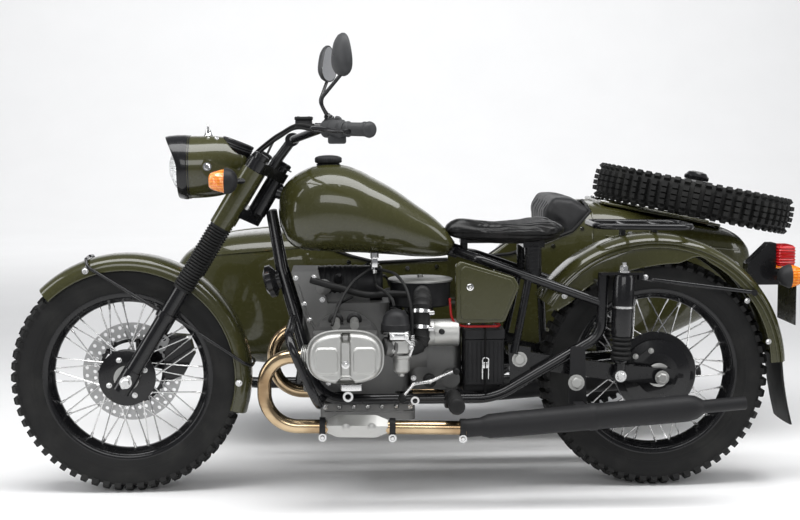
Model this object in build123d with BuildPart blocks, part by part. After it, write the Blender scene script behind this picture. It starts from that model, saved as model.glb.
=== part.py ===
from build123d import *
from math import asin, atan, cos, degrees, pi, radians, sin, tan
import os

# Sidecar motorcycle. Working datum in millimetres: X runs rearward from the front axle, Y runs from the
# bike's centre plane towards the sidecar, Z runs up from the ground. ORIGIN moves it to the row frame.
ORIGIN = (-889.72, -404.63, 0)

# Wheels, all four alike in tyre and rim
WHEELBASE = 1510
TYRE_RADIUS = 332
SIDECAR_WHEEL = (1480, 1150, TYRE_RADIUS)
SPARE_CENTRE = (1780, 655, 796)
DECK_FRONT = (1430, 790)
DECK_REAR = (1850, 706)
DECK_SLOPE = atan((DECK_FRONT[1] - DECK_REAR[1]) / (DECK_REAR[0] - DECK_FRONT[0]))
TYRE_RINGS = [(231, 28), (250, 30), (288, 56), (322, 46)]
LUG_COUNT = 60
LUG_SHARE = 0.6
LUG_HALF_WIDTH = 30
RIM_OUTLINE = [(230.6, 27.5), (230.6, 31), (244, 32), (244, 36), (226, 35), (212, 13)]
SPOKE_COUNT = 40
SPOKE_SIZE = 4
SPOKE_LEAN = 22
SPOKE_RIM_RADIUS = 214
SPOKE_RIM_REACH = 7
AXLE_RADIUS = 10
AXLE_BORE = 10.1
FRONT_HUB = [(AXLE_BORE, -56), (26, -56), (26, -50), (81, -50), (81, -42), (32, -38), (28, 0), (32, 36),
             (64, 38), (64, 56), (30, 56), (30, 62), (AXLE_BORE, 62)]
FRONT_FLANGES = {-1: (74, 46), 1: (58, 42)}
DRUM_HUB = [(AXLE_BORE, -60), (40, -60), (100, -57), (118, -57), (118, -41), (108, -36), (48, -28),
            (40, 0), (44, 36), (76, 38), (76, 48), (40, 52), (40, 60), (AXLE_BORE, 60)]
DRUM_FLANGES = {-1: (112, 49), 1: (70, 43)}
DISC_RADIUS = 143
DISC_FACE = 56.3
DISC_THICK = 5

# Steering head and fork
RAKE = 31.5
LEG_FOOT_X = 8
LEG_Y = 100
HEAD_OFFSET = 66
STEM_RADIUS = 15
STANCHION_RADIUS = 20
SLIDER_RADIUS = 23
SLIDER_TOP = 300
GAITER_TOP = 508
GAITER_FOLDS = 14
GAITER_RADII = (24, 29)
SHROUD_RADIUS = 31
SHROUD_TOP = 690
YOKE_LOW = (553, 583)
YOKE_HIGH = (692, 722)
YOKE_STEM_RADIUS = 24
YOKE_CLAMP_RADIUS = 28
FENDER_CLAMP = 214

# Frame tubes
RAIL_Y = 140
RAIL_Z = 280
RAIL_RADIUS = 15
HEAD_TUBE_RADIUS = 26
HEAD_TUBE_BORE = 15.08
SEAT_TUBE_RADIUS = 13
BACKBONE = ((428, 0, 856), (945, 0, 680))
BACKBONE_RADIUS = 20
SHOCK_X = 1398
SHOCK_Y = 150
EAR_Z = 626
PIVOT = (1108, 387)
FENDER_BOSSES = ((1292, 562), (1330, 600))
ROLLED_EDGE = 3.5
PRESSED_BEAD = 3

# Sidecar
SIDECAR_Y = 655
TUB_WALL = 10
FRAME_INNER_Y = 385
FRAME_OUTER_Y = 945
FRAME_Z = 235
FRAME_RADIUS = 17
LID_HINGE_X = 1442
LID_LENGTH = 402
LID_HALF_WIDTH = 190
LID_LAP = 18
LID_GAP = 0.4
LID_THICK = 9

# Engine
ENGINE_X = 620
CYLINDER_Z = 432
HEAD_FACE_Y = 312
EXHAUST_Y = 258

LEG_DIR = Vector(sin(radians(RAKE)), 0, cos(radians(RAKE)))
LEG_BACK = Vector(cos(radians(RAKE)), 0, -sin(radians(RAKE)))
SIDES = (-1, 1)
os.makedirs("parts", exist_ok=True)


def leg_point(reach, y):
    """Point on a fork leg, at a distance from the axle foot along the leg."""
    return Vector(LEG_FOOT_X, y, TYRE_RADIUS) + LEG_DIR * reach


def stem_point(reach):
    """Point on the steering axis, level with the same distance along the legs."""
    return leg_point(reach, 0) + LEG_BACK * HEAD_OFFSET


def leg_plane(origin):
    """Plane square to the fork legs, with its local y to the rear."""
    return Plane(origin=origin, x_dir=(0, -1, 0), z_dir=LEG_DIR)


def side_plane(y):
    """Upright plane along the vehicle: local x is X, local y is Z, its normal is -Y."""
    return Plane(origin=(0, y, 0), x_dir=(1, 0, 0), z_dir=(0, -1, 0))


def cross_plane(x, y=0):
    """Upright plane across the vehicle: local x is Y, local y is Z, its normal is +X."""
    return Plane(origin=(x, y, 0), x_dir=(0, 1, 0), z_dir=(1, 0, 0))


def rod(start, end, radius):
    """Round bar between two points."""
    axis = Vector(*end) - Vector(*start)
    with BuildPart() as piece:
        with BuildSketch(Plane(origin=start, z_dir=axis)):
            Circle(radius)
        extrude(amount=axis.length)
    return piece.part


def square_bar(start, end, size):
    """Square bar between two points."""
    axis = end - start
    with BuildPart() as piece:
        with BuildSketch(Plane(origin=start, z_dir=axis)):
            Rectangle(size, size)
        extrude(amount=axis.length)
    return piece.part


def tube(route, radius, bends):
    """Round tube along straight legs joined by bends."""
    with BuildPart() as piece:
        with BuildLine() as path:
            FilletPolyline(*route, radius=bends)
        with BuildSketch(Plane(origin=path.line @ 0, z_dir=path.line % 0)):
            Circle(radius)
        sweep()
    return piece.part


def slab(outline, y_from, y_to):
    """Plate whose outline is given in X and Z, between two Y places."""
    with BuildPart() as piece:
        with BuildSketch(side_plane(y_from)):
            Polygon(*outline, align=None)
        extrude(amount=y_from - y_to)
    return piece.part


def turned(outline, start, axis):
    """Body turned about an axis from (reach along it, radius) corners."""
    direction = Vector(*axis).normalized()
    across = Vector(0, 1, 0) if abs(direction.Y) < 0.9 else Vector(1, 0, 0)
    with BuildPart() as piece:
        with BuildSketch(Plane(origin=start, x_dir=direction, z_dir=direction.cross(across))):
            Polygon((outline[0][0], 0), *outline, (outline[-1][0], 0), align=None)
        revolve(axis=Axis(start, direction))
    return piece.part


def box(x_span, y_span, z_span, round_off=0):
    """Block between two places on each axis, its upright edges rounded."""
    with BuildPart() as piece:
        with BuildSketch(Plane.XY.offset(z_span[0])):
            with Locations(((x_span[0] + x_span[1]) / 2, (y_span[0] + y_span[1]) / 2)):
                if round_off:
                    RectangleRounded(x_span[1] - x_span[0], y_span[1] - y_span[0], round_off)
                else:
                    Rectangle(x_span[1] - x_span[0], y_span[1] - y_span[0])
        extrude(amount=z_span[1] - z_span[0])
    return piece.part


def main_tube(side, grow=0):
    """One side's long frame tube: down tube, lower rail, rear loop and shock post."""
    return tube([(412, side * 20, 800), (440, side * 62, 640), (545, side * RAIL_Y, RAIL_Z),
                 (1036, side * RAIL_Y, RAIL_Z), (1336, side * RAIL_Y, 455), (1341, side * RAIL_Y, EAR_Z + 4)],
                RAIL_RADIUS + grow, [60, 90, 180, 70])


def seat_tube(side, grow=0):
    """One side's upper frame tube, from the backbone's end to the shock post."""
    return tube([(935, side * 6, 682), (1000, side * 95, 666), (1338, side * RAIL_Y, 545)],
                SEAT_TUBE_RADIUS + grow, [40])


def wheel_post(grow=0):
    """Upright of the sidecar frame that carries the top of its shock."""
    return tube([(1400, FRAME_OUTER_Y, FRAME_Z), (1400, FRAME_OUTER_Y, 668), (1432, 1004, 668)],
                13 + grow, [36])


def mirrored(part):
    """The same piece on the other side of the bike's centre plane."""
    return part.mirror(Plane.XZ)


def tyre():
    """Tyre about the Y axis at the origin: flat facets between rings of corners, one a pitch, and on each
    pitch a lug whose sides fall away to the groove before the next."""
    pitch = 2 * pi / LUG_COUNT
    tip_radius = TYRE_RADIUS / cos(LUG_SHARE * pitch / 2)
    groove_radius, shoulder = TYRE_RINGS[-1]
    facets = []

    def facet(*corners):
        """Flat face through (radius, y, angle) corners."""
        points = [(radius * cos(turn), y, radius * sin(turn)) for radius, y, turn in corners]
        facets.append(Face(Wire.make_polygon(points)))

    for index in range(LUG_COUNT):
        low, high = (index - 0.5) * pitch, (index + 0.5) * pitch
        tip_low, tip_high = (index - LUG_SHARE / 2) * pitch, (index + LUG_SHARE / 2) * pitch
        for side in SIDES:
            for (radius, y), (next_radius, next_y) in zip(TYRE_RINGS, TYRE_RINGS[1:]):
                facet((radius, side * y, low), (next_radius, side * next_y, low),
                      (next_radius, side * next_y, high), (radius, side * y, high))
            edge, tip_edge = side * shoulder, side * LUG_HALF_WIDTH
            facet((groove_radius, edge, low), (groove_radius, edge, high),
                  (tip_radius, tip_edge, tip_high), (tip_radius, tip_edge, tip_low))
        for groove, tip in ((low, tip_low), (high, tip_high)):
            facet((groove_radius, -shoulder, groove), (groove_radius, shoulder, groove),
                  (tip_radius, LUG_HALF_WIDTH, tip), (tip_radius, -LUG_HALF_WIDTH, tip))
        for radius, y, start, end in ((tip_radius, LUG_HALF_WIDTH, tip_low, tip_high),
                                      (*TYRE_RINGS[0], low, high)):
            facet((radius, -y, start), (radius, y, start), (radius, y, end), (radius, -y, end))
    with BuildPart() as piece:
        add(Solid(Shell(facets)))
    return piece.part


def spokes(flanges):
    """Laced spokes from the two hub flanges to the rim."""
    pieces = []
    for index in range(SPOKE_COUNT):
        side = SIDES[index % 2]
        hub_radius, hub_reach = flanges[side]
        turn = radians(360 * index / SPOKE_COUNT)
        lean = radians(SPOKE_LEAN if index % 4 < 2 else -SPOKE_LEAN)
        inner = Vector(hub_radius * cos(turn), side * hub_reach, hub_radius * sin(turn))
        outer = Vector(SPOKE_RIM_RADIUS * cos(turn + lean), side * SPOKE_RIM_REACH,
                       SPOKE_RIM_RADIUS * sin(turn + lean))
        pieces.append(square_bar(inner, outer, SPOKE_SIZE))
    return pieces


def wire_wheel(hub, flanges):
    """Rim, hub and spokes about the Y axis at the origin."""
    with BuildPart() as piece:
        with BuildSketch(Plane.XY):
            Polygon(*RIM_OUTLINE, *[(r, -y) for r, y in reversed(RIM_OUTLINE)], align=None)
            Polygon(*hub, align=None)
        revolve(axis=Axis.Y)
        add(spokes(flanges))
    return piece.part


def fender(size, centre):
    """Trough-shaped fender about a wheel's axis, its edges rolled round a wire and beads pressed into its
    sides; angles run from the rear upwards."""
    start = radians(size["from"])
    crown, edge, half_width = size["crown"], size["edge"], size["half_width"]
    shoulder, inside = crown - size["sag"], half_width - size["wall"]
    plane = Plane(origin=centre, x_dir=(cos(start), 0, sin(start)), z_dir=(-sin(start), 0, cos(start)))
    with BuildPart() as piece:
        with BuildSketch(plane):
            with BuildLine():
                Polyline((shoulder, half_width), (edge, half_width), (edge, inside),
                         (shoulder - size["wall"], inside))
                ThreePointArc((shoulder - size["wall"], inside), (crown - size["wall"], 0),
                              (shoulder - size["wall"], -inside))
                Polyline((shoulder - size["wall"], -inside), (edge, -inside), (edge, -half_width),
                         (shoulder, -half_width))
                ThreePointArc((shoulder, -half_width), (crown, 0), (shoulder, half_width))
            make_face()
            for radius, bead in [(edge, ROLLED_EDGE)] + [(place, PRESSED_BEAD) for place in size["beads"]]:
                with Locations((radius, half_width - 1), (radius, 1 - half_width)):
                    Circle(bead)
        revolve(axis=Axis(centre, (0, -1, 0)), revolution_arc=size["to"] - size["from"])
    return piece.part


def wheel_disc(centre, radius, half_width):
    """Flat round block about a wheel's axis, to fit pieces to a fender's crown."""
    x, y, z = centre
    return rod((x, y - half_width, z), (x, y + half_width, z), radius)


def save(part, label):
    """Move a finished sub-part to the row frame, name it and write it."""
    placed = part.moved(Location(ORIGIN))
    placed.label = label
    export_step(placed, f"parts/{label}.step")


# Wheels
FRONT_AXLE = (0, 0, TYRE_RADIUS)
REAR_AXLE = (WHEELBASE, 0, TYRE_RADIUS)
plain_tyre = tyre()
drum_wheel = wire_wheel(DRUM_HUB, DRUM_FLANGES)
deck_tilt = Location((0, 0, 0), (0, degrees(DECK_SLOPE), 0))
spare_place = Location(SPARE_CENTRE) * deck_tilt * Location((0, 0, 0), (90, 0, 0))

with BuildPart() as front_tyre:
    add(plain_tyre.moved(Location(FRONT_AXLE)))
save(front_tyre.part, "front_tyre")

with BuildPart() as front_wheel:
    add(wire_wheel(FRONT_HUB, FRONT_FLANGES).moved(Location(FRONT_AXLE)))
save(front_wheel.part, "front_wheel")

with BuildPart() as brake_disc:
    with BuildSketch(Plane(origin=(0, DISC_FACE, TYRE_RADIUS), x_dir=(1, 0, 0), z_dir=(0, 1, 0))):
        Circle(DISC_RADIUS)
        Circle(30.4, mode=Mode.SUBTRACT)
        with PolarLocations(80, 6):
            Circle(22, mode=Mode.SUBTRACT)
    extrude(amount=DISC_THICK)
save(brake_disc.part, "brake_disc")

with BuildPart() as rear_tyre:
    add(plain_tyre.moved(Location(REAR_AXLE)))
save(rear_tyre.part, "rear_tyre")

with BuildPart() as rear_wheel:
    add(drum_wheel.moved(Location(REAR_AXLE)))
save(rear_wheel.part, "rear_wheel")

with BuildPart() as sidecar_tyre:
    add(plain_tyre.moved(Location(SIDECAR_WHEEL)))
save(sidecar_tyre.part, "sidecar_tyre")

with BuildPart() as sidecar_wheel:
    add(drum_wheel.moved(Location(SIDECAR_WHEEL)))
save(sidecar_wheel.part, "sidecar_wheel")

with BuildPart() as spare_tyre:
    add(plain_tyre.moved(spare_place))
save(spare_tyre.part, "spare_tyre")

with BuildPart() as spare_wheel:
    add(drum_wheel.moved(spare_place))
save(spare_wheel.part, "spare_wheel")

# Fork and steering
with BuildPart() as fork_yokes:
    for low, high in (YOKE_LOW, YOKE_HIGH):
        with BuildSketch(leg_plane(leg_point(low, 0))):
            with Locations((-LEG_Y, 0), (LEG_Y, 0)):
                Circle(20)
            with Locations((0, HEAD_OFFSET)):
                Circle(YOKE_STEM_RADIUS)
            make_hull()
        extrude(amount=high - low)
        add([rod(leg_point(low, y), leg_point(high, y), YOKE_CLAMP_RADIUS) for y in (-LEG_Y, LEG_Y)])
    add([rod(leg_point(SLIDER_TOP + 0.3, y), leg_point(YOKE_HIGH[1] + 8, y), STANCHION_RADIUS)
         for y in (-LEG_Y, LEG_Y)])
    add(rod(stem_point(YOKE_LOW[0]), stem_point(YOKE_HIGH[1] + 12), STEM_RADIUS))
save(fork_yokes.part, "fork_yokes")

with BuildPart() as fork_sliders:
    for y in (-LEG_Y, LEG_Y):
        add([rod(leg_point(-30, y), leg_point(SLIDER_TOP, y), SLIDER_RADIUS),
             rod(leg_point(-34, y), leg_point(34, y), SLIDER_RADIUS + 4)])
    add(rod((0, -LEG_Y - 26, TYRE_RADIUS), (0, LEG_Y + 26, TYRE_RADIUS), AXLE_RADIUS))
    add([rod((0, side * 67, TYRE_RADIUS), (0, side * 120, TYRE_RADIUS), 19) for side in SIDES])
save(fork_sliders.part, "fork_sliders")

with BuildPart() as fork_gaiters:
    fold = (GAITER_TOP - SLIDER_TOP - 1) / (2 * GAITER_FOLDS)
    for y in (-LEG_Y, LEG_Y):
        start = leg_point(SLIDER_TOP + 0.5, y)
        with BuildSketch(Plane(origin=start, x_dir=LEG_DIR, z_dir=LEG_DIR.cross(Vector(0, 1, 0)))):
            zigzag = [(step * fold, GAITER_RADII[step % 2]) for step in range(2 * GAITER_FOLDS + 1)]
            Polygon((0, STANCHION_RADIUS + 0.4), *zigzag,
                    (2 * GAITER_FOLDS * fold, STANCHION_RADIUS + 0.4), align=None)
        revolve(axis=Axis(start, LEG_DIR))
save(fork_gaiters.part, "fork_gaiters")

HEADLAMP_Z = 926
SHELL_SECTIONS = [(182, 86, 86, 926), (240, 85, 86, 927), (300, 62, 76, 931), (343, 36, 40, 940)]
EAR_SCREW = (240, 930)
with BuildPart() as fork_shrouds:
    for y in (-LEG_Y, LEG_Y):
        inner = y / LEG_Y * 90
        outer = y / LEG_Y * 95
        low_end, high_end = leg_point(590, 0), leg_point(676, 0)
        add([rod(leg_point(GAITER_TOP + 0.5, y), leg_point(SHROUD_TOP, y), SHROUD_RADIUS),
             slab([(low_end.X, low_end.Z), (high_end.X, high_end.Z), (EAR_SCREW[0] - 8, EAR_SCREW[1] + 22),
                   (EAR_SCREW[0] - 18, EAR_SCREW[1]), (EAR_SCREW[0] - 8, EAR_SCREW[1] - 22)],
                  max(inner, outer), min(inner, outer))])
    add([rod(leg_point(SLIDER_TOP, y), leg_point(SHROUD_TOP + 4, y), STANCHION_RADIUS + 0.3)
         for y in (-LEG_Y, LEG_Y)], mode=Mode.SUBTRACT)
    with BuildSketch(leg_plane(leg_point(YOKE_LOW[0] - 0.3, 0))):
        with Locations((-LEG_Y, 0), (LEG_Y, 0)):
            Circle(YOKE_CLAMP_RADIUS + 0.3)
        with Locations((0, HEAD_OFFSET)):
            Circle(YOKE_STEM_RADIUS + 4)
        make_hull()
    extrude(amount=YOKE_LOW[1] - YOKE_LOW[0] + 0.6, mode=Mode.SUBTRACT)
save(fork_shrouds.part, "fork_shrouds")

with BuildPart() as headlamp_shell:
    for x, half_width, half_height, z in SHELL_SECTIONS:
        with BuildSketch(cross_plane(x)):
            with Locations((0, z)):
                Ellipse(half_width, half_height)
    loft()
    add(turned([(-60, 40), (-14, 45), (4, 45), (4, 41), (0, 40)], (320, 0, 992), (0.36, 0, 0.93)))
    add([rod((EAR_SCREW[0], side * 80, EAR_SCREW[1]), (EAR_SCREW[0], side * 89.8, EAR_SCREW[1]), 10)
         for side in SIDES])
save(headlamp_shell.part, "headlamp_shell")

with BuildPart() as headlamp_rim:
    ring = [(0, 90), (-10, 91), (-30, 86), (-30, 76), (0, 76)]
    with BuildSketch(Plane(origin=(181.5, 0, HEADLAMP_Z), x_dir=(1, 0, 0), z_dir=(0, -1, 0))):
        Polygon(*ring, align=None)
    revolve(axis=Axis((0, 0, HEADLAMP_Z), (1, 0, 0)))
    with BuildSketch(cross_plane(152)):
        with Locations((0, HEADLAMP_Z)):
            Circle(89)
            Circle(85, mode=Mode.SUBTRACT)
        with Locations((0, HEADLAMP_Z - 30)):
            Rectangle(200, 190, mode=Mode.SUBTRACT)
    extrude(amount=-36)
save(headlamp_rim.part, "headlamp_rim")

LENS_BULGE = 34
LENS_RADIUS = 75.6
ball = (LENS_RADIUS ** 2 + LENS_BULGE ** 2) / (2 * LENS_BULGE)
rise = asin(LENS_RADIUS / ball)
with BuildPart() as headlamp_lens:
    with BuildSketch(Plane(origin=(158, 0, HEADLAMP_Z), x_dir=(1, 0, 0), z_dir=(0, -1, 0))):
        with BuildLine():
            Line((-LENS_BULGE, 0), (0, 0))
            Line((0, 0), (0, LENS_RADIUS))
            ThreePointArc((0, LENS_RADIUS), (ball - LENS_BULGE - ball * cos(rise / 2), ball * sin(rise / 2)),
                          (-LENS_BULGE, 0))
        make_face()
    revolve(axis=Axis((0, 0, HEADLAMP_Z), (1, 0, 0)))
save(headlamp_lens.part, "headlamp_lens")

INDICATOR = {"x": 298, "y": 174, "z": 893}
with BuildPart() as front_indicators:
    for side in SIDES:
        centre = (INDICATOR["x"], side * INDICATOR["y"], INDICATOR["z"])
        add(turned([(-44, 14), (-40, 22), (-26, 30), (0, 34), (6, 34), (22, 24), (28, 14)],
                   centre, (1, 0, 0)))
        add(rod((INDICATOR["x"] + 14, side * (INDICATOR["y"] - 20), INDICATOR["z"] - 2),
                (INDICATOR["x"] + 42, side * (LEG_Y + 20), INDICATOR["z"] - 2), 8))
    add([rod(leg_point(SLIDER_TOP, y), leg_point(SHROUD_TOP + 4, y), SHROUD_RADIUS + 0.2)
         for y in (-LEG_Y, LEG_Y)], mode=Mode.SUBTRACT)
save(front_indicators.part, "front_indicators")

BAR = [(474, 0, 1003), (480, 95, 1004), (562, 285, 1034), (604, 330, 1034)]
GRIP_END = (690, 412, 1032)
with BuildPart() as handlebar:
    half = tube(BAR + [GRIP_END], 11, [60, 90, 60])
    add([half, mirrored(half)])
    for y in (-38, 38):
        foot = leg_point(YOKE_HIGH[1] + 0.3, y) + LEG_BACK * 40
        add(rod(foot, foot + LEG_DIR * 30, 14))
        add(rod(foot + LEG_DIR * 24, (474, y, 1003), 13))
        add(rod((474, y - 14, 1003), (474, y + 14, 1003), 19))
save(handlebar.part, "handlebar")

GRIP_DIR = Vector(*GRIP_END) - Vector(*BAR[3])
with BuildPart() as hand_controls:
    grip = turned([(30, 17), (36, 21), (44, 17), (98, 17), (104, 20), (120, 21), (126, 17)],
                  BAR[3], GRIP_DIR)
    switch = turned([(-46, 19), (-40, 24), (16, 24), (22, 18), (30, 18)], BAR[3], GRIP_DIR)
    with BuildPart() as lever:
        blade = tube([(548, 292, 1036), (538, 318, 1036), (592, 388, 1030), (628, 420, 1028)], 6, [12, 60])
        add([blade, rod((572, 300, 1035), (546, 294, 1036), 13)])
    pack = [grip, switch, lever.part]
    right = [mirrored(piece) for piece in pack]
    add(pack + right)
    add([box((474, 522), (278, 326), (1040, 1074), 8), rod((500, 300, 1050), (556, 300, 1040), 13)])
    half = tube(BAR + [GRIP_END], 11.1, [60, 90, 60])
    add([half, mirrored(half)], mode=Mode.SUBTRACT)
save(hand_controls.part, "hand_controls")

MIRRORS = [{"side": -1, "foot": (580, 307, 1060.9), "knee": (556, 300, 1108), "head": (612, 352, 1226)},
           {"side": 1, "foot": (580, 307, 1060.9), "knee": (546, 300, 1112), "head": (566, 352, 1230)}]
with BuildPart() as mirrors:
    for mirror in MIRRORS:
        side = mirror["side"]
        foot, knee, head = (Vector(x, side * y, z) for x, y, z in
                            (mirror["foot"], mirror["knee"], mirror["head"]))
        neck = head - Vector(-6, 0, 46)
        add(tube([foot + Vector(0, 0, 4), knee, neck, head], 5, [20, 14]))
        with BuildSketch(Plane(origin=head - Vector(16, 0, 0), x_dir=(0, 1, 0), z_dir=(1, 0, 0))):
            Ellipse(38, 30)
        with BuildSketch(Plane(origin=head + Vector(2, 0, 0), x_dir=(0, 1, 0), z_dir=(1, 0, 0))):
            Ellipse(60, 50)
        with BuildSketch(Plane(origin=head + Vector(14, 0, 0), x_dir=(0, 1, 0), z_dir=(1, 0, 0))):
            Ellipse(60, 50)
        loft()
        add(rod(foot - Vector(0, 0, 2), foot + Vector(0, 0, 10), 9))
save(mirrors.part, "mirrors")

FRONT_FENDER = {"crown": 352, "edge": 298, "half_width": 67, "sag": 16, "wall": 3, "from": -18, "to": 134,
                "beads": []}
with BuildPart() as front_fender:
    add(fender(FRONT_FENDER, FRONT_AXLE))
    for side in SIDES:
        clamp = leg_point(FENDER_CLAMP, side * LEG_Y)
        add(rod(leg_point(FENDER_CLAMP - 8, side * LEG_Y), leg_point(FENDER_CLAMP + 8, side * LEG_Y), 29))
        reach = FRONT_FENDER["half_width"]
        add([rod((-106, side * (reach + 3), 640), (clamp.X - 10, side * (reach + 3), clamp.Z + 4), 5),
             rod((318, side * (reach + 3), 318), (clamp.X + 12, side * (reach + 3), clamp.Z - 6), 5),
             rod((-106, side * (reach - 1), 640), (-106, side * (reach + 10), 640), 8),
             rod((318, side * (reach - 1), 318), (318, side * (reach + 10), 318), 8)])
        add(slab([(clamp.X - 14, clamp.Z + 14), (clamp.X + 20, clamp.Z - 8), (clamp.X + 30, clamp.Z + 30),
                  (clamp.X - 8, clamp.Z + 44)], side * reach + 3, side * reach - 3))
    add([rod(leg_point(120, y), leg_point(SLIDER_TOP + 4, y), SLIDER_RADIUS + 0.1)
         for y in (-LEG_Y, LEG_Y)], mode=Mode.SUBTRACT)
save(front_fender.part, "front_fender")

CALIPER = [(96, 300), (150, 322), (182, 380), (168, 436), (118, 440), (96, 392)]
with BuildPart() as brake_caliper:
    add(slab(CALIPER, 86, 40))
    add(slab([(24, 372), (60, 340), (110, 330), (160, 420), (110, 440), (52, 412)], 92, 70))
    with BuildSketch(Plane(origin=(0, DISC_FACE - 5.2, TYRE_RADIUS), x_dir=(1, 0, 0), z_dir=(0, 1, 0))):
        Circle(DISC_RADIUS + 6)
    extrude(amount=DISC_THICK + 10.4, mode=Mode.SUBTRACT)
    add(rod(leg_point(-40, LEG_Y), leg_point(SLIDER_TOP, LEG_Y), SLIDER_RADIUS + 0.2), mode=Mode.SUBTRACT)
    add(rod(leg_point(-40, LEG_Y), leg_point(36, LEG_Y), SLIDER_RADIUS + 4.2), mode=Mode.SUBTRACT)
save(brake_caliper.part, "brake_caliper")

# Bike frame
GUARD = [(474, 92, 505), (466, 312, 478), (548, 312, 292), (552, 140, RAIL_Z)]
with BuildPart() as frame:
    add(rod(stem_point(YOKE_LOW[1] + 1), stem_point(YOKE_HIGH[0] - 1), HEAD_TUBE_RADIUS))
    add(rod(*BACKBONE, BACKBONE_RADIUS))
    for side in SIDES:
        main, upper = main_tube(side), seat_tube(side)
        brace = rod((1136, side * 112, 618), (1092, side * 136, 404), 11)
        guard = tube([(x, side * y, z) for x, y, z in GUARD], 12, [60, 60])
        plate_y = side * 126.5
        plate = slab([(1082, 318), (1136, 340), (1140, 420), (1076, 430)], plate_y + 3.5, plate_y - 3.5)
        ear = box((1328, 1454), (side * SHOCK_Y - 15, side * SHOCK_Y + 15), (EAR_Z, EAR_Z + 7), 10)
        bosses = [rod((x, side * 88.4, z), (x, side * RAIL_Y, z), 9) for x, z in FENDER_BOSSES]
        add([main, upper, brace, guard, plate, ear] + bosses)
    for x in (600, 790, 1000):
        add(rod((x, -RAIL_Y, RAIL_Z), (x, RAIL_Y, RAIL_Z), 12))
    add(rod(stem_point(YOKE_LOW[1] - 2), stem_point(YOKE_HIGH[0] + 2), HEAD_TUBE_BORE), mode=Mode.SUBTRACT)
    add([rod((SHOCK_X, side * SHOCK_Y, EAR_Z - 2), (SHOCK_X, side * SHOCK_Y, EAR_Z + 20), 7)
         for side in SIDES], mode=Mode.SUBTRACT)
save(frame.part, "frame")

# Engine and transmission
with BuildPart() as engine:
    add(box((500, 744), (-96, 96), (293, 545), 30))
    add(box((700, 798), (-96, 96), (293, 500), 20))
    add(slab([(470, 634), (545, 634), (572, 540), (580, 300), (566, 300), (508, 500)], 98, -98))
    add(box((548, 816), (-108, 108), (214, 262), 20))
    add(box((622, 768), (-84, 84), (260, 294), 10))
    add(turned([(0, 40), (10, 50), (150, 50), (160, 44), (180, 44)], (545, 0, 592), (1, 0, 0)))
    add(box((560, 690), (-46, 46), (540, 580)))
    add([rod((ENGINE_X, side * 90, CYLINDER_Z), (ENGINE_X, side * 112, CYLINDER_Z), 95) for side in SIDES])
save(engine.part, "engine")

FIN_PLACES = [122 + 14 * index for index in range(9)]
with BuildPart() as cylinders:
    with BuildPart() as left_cylinder:
        barrel = rod((ENGINE_X, -112.3, CYLINDER_Z), (ENGINE_X, -HEAD_FACE_Y, CYLINDER_Z), 52)
        head = box((534, 706), (-HEAD_FACE_Y, -258), (380, 492), 16)
        add([barrel, head])
        for y in FIN_PLACES:
            add(box((ENGINE_X - 70, ENGINE_X + 70), (-y - 5, -y), (CYLINDER_Z - 68, CYLINDER_Z + 68)))
        add([rod((x, -115, 488), (x, -262, 480), 11) for x in (592, 643)])
        add([rod((x, -112.3, 496), (x, -119, 496), 18) for x in (592, 643)])
    add([left_cylinder.part, mirrored(left_cylinder.part)])
save(cylinders.part, "cylinders")

COVER_OUTLINE = [(520, 440), (536, 492), (598, 503), (642, 503), (704, 492), (720, 440), (704, 386),
                 (650, 364), (590, 364), (536, 386)]
COVER_DEPTH = 50
with BuildPart() as valve_covers:
    with BuildPart() as left_cover:
        for inset, reach in ((0, 0.3), (0, 30), (14, COVER_DEPTH)):
            with BuildSketch(side_plane(-HEAD_FACE_Y - reach)):
                Polygon(*[(x + inset * (1 if x < ENGINE_X else -1), z + inset * (1 if z < CYLINDER_Z else -1))
                          for x, z in COVER_OUTLINE], align=None)
        loft(ruled=True)
        with BuildSketch(side_plane(-HEAD_FACE_Y - COVER_DEPTH + 1)):
            with Locations((ENGINE_X - 47, CYLINDER_Z), (ENGINE_X + 47, CYLINDER_Z)):
                RectangleRounded(60, 78, 14)
        extrude(amount=6)
        add(rod((ENGINE_X, -HEAD_FACE_Y - 40, CYLINDER_Z), (ENGINE_X, -HEAD_FACE_Y - 58, CYLINDER_Z), 11))
    add([left_cover.part, mirrored(left_cover.part)])
save(valve_covers.part, "valve_covers")

with BuildPart() as carburettors:
    with BuildPart() as left_carb:
        add([rod((708, -285, 450), (724, -262, 452), 22), rod((722, -264, 452), (806, -238, 456), 24),
             rod((758, -252, 372), (758, -252, 430), 26), rod((758, -252, 430), (758, -252, 520), 34),
             rod((758, -252, 519), (758, -252, 548), 24)])
        add(box((520, 706.3), (-320, -240), (360, 505)), mode=Mode.SUBTRACT)
    add([left_carb.part, mirrored(left_carb.part)])
save(carburettors.part, "carburettors")

with BuildPart() as air_cleaner:
    add(rod((836, 0, 528), (836, 0, 597), 88))
    add(rod((836, 0, 596), (836, 0, 608), 92))
    add(box((800, 872), (-60, 60), (500.3, 530)))
    for side in SIDES:
        add(tube([(806.5, side * 238, 456), (838, side * 228, 458), (846, side * 190, 562),
                  (838, side * 60, 566)], 25, [30, 34]))
save(air_cleaner.part, "air_cleaner")

with BuildPart() as gearbox:
    add(box((798.4, 948), (-92, 92), (297, 470), 26))
    add(rod((798.4, 0, 400), (850, 0, 400), 100))
    add(box((850, 946), (60, 108), (318, 400), 16))
    add(rod((916, -90, 330), (916, -112, 330), 26))
save(gearbox.part, "gearbox")

with BuildPart() as starter_motor:
    add(turned([(0, 30), (6, 38), (70, 38), (78, 26)], (846, -138, 466), (1, 0, 0)))
    add(box((866, 906), (-112, -92.3), (440, 468)))
save(starter_motor.part, "starter_motor")

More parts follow.
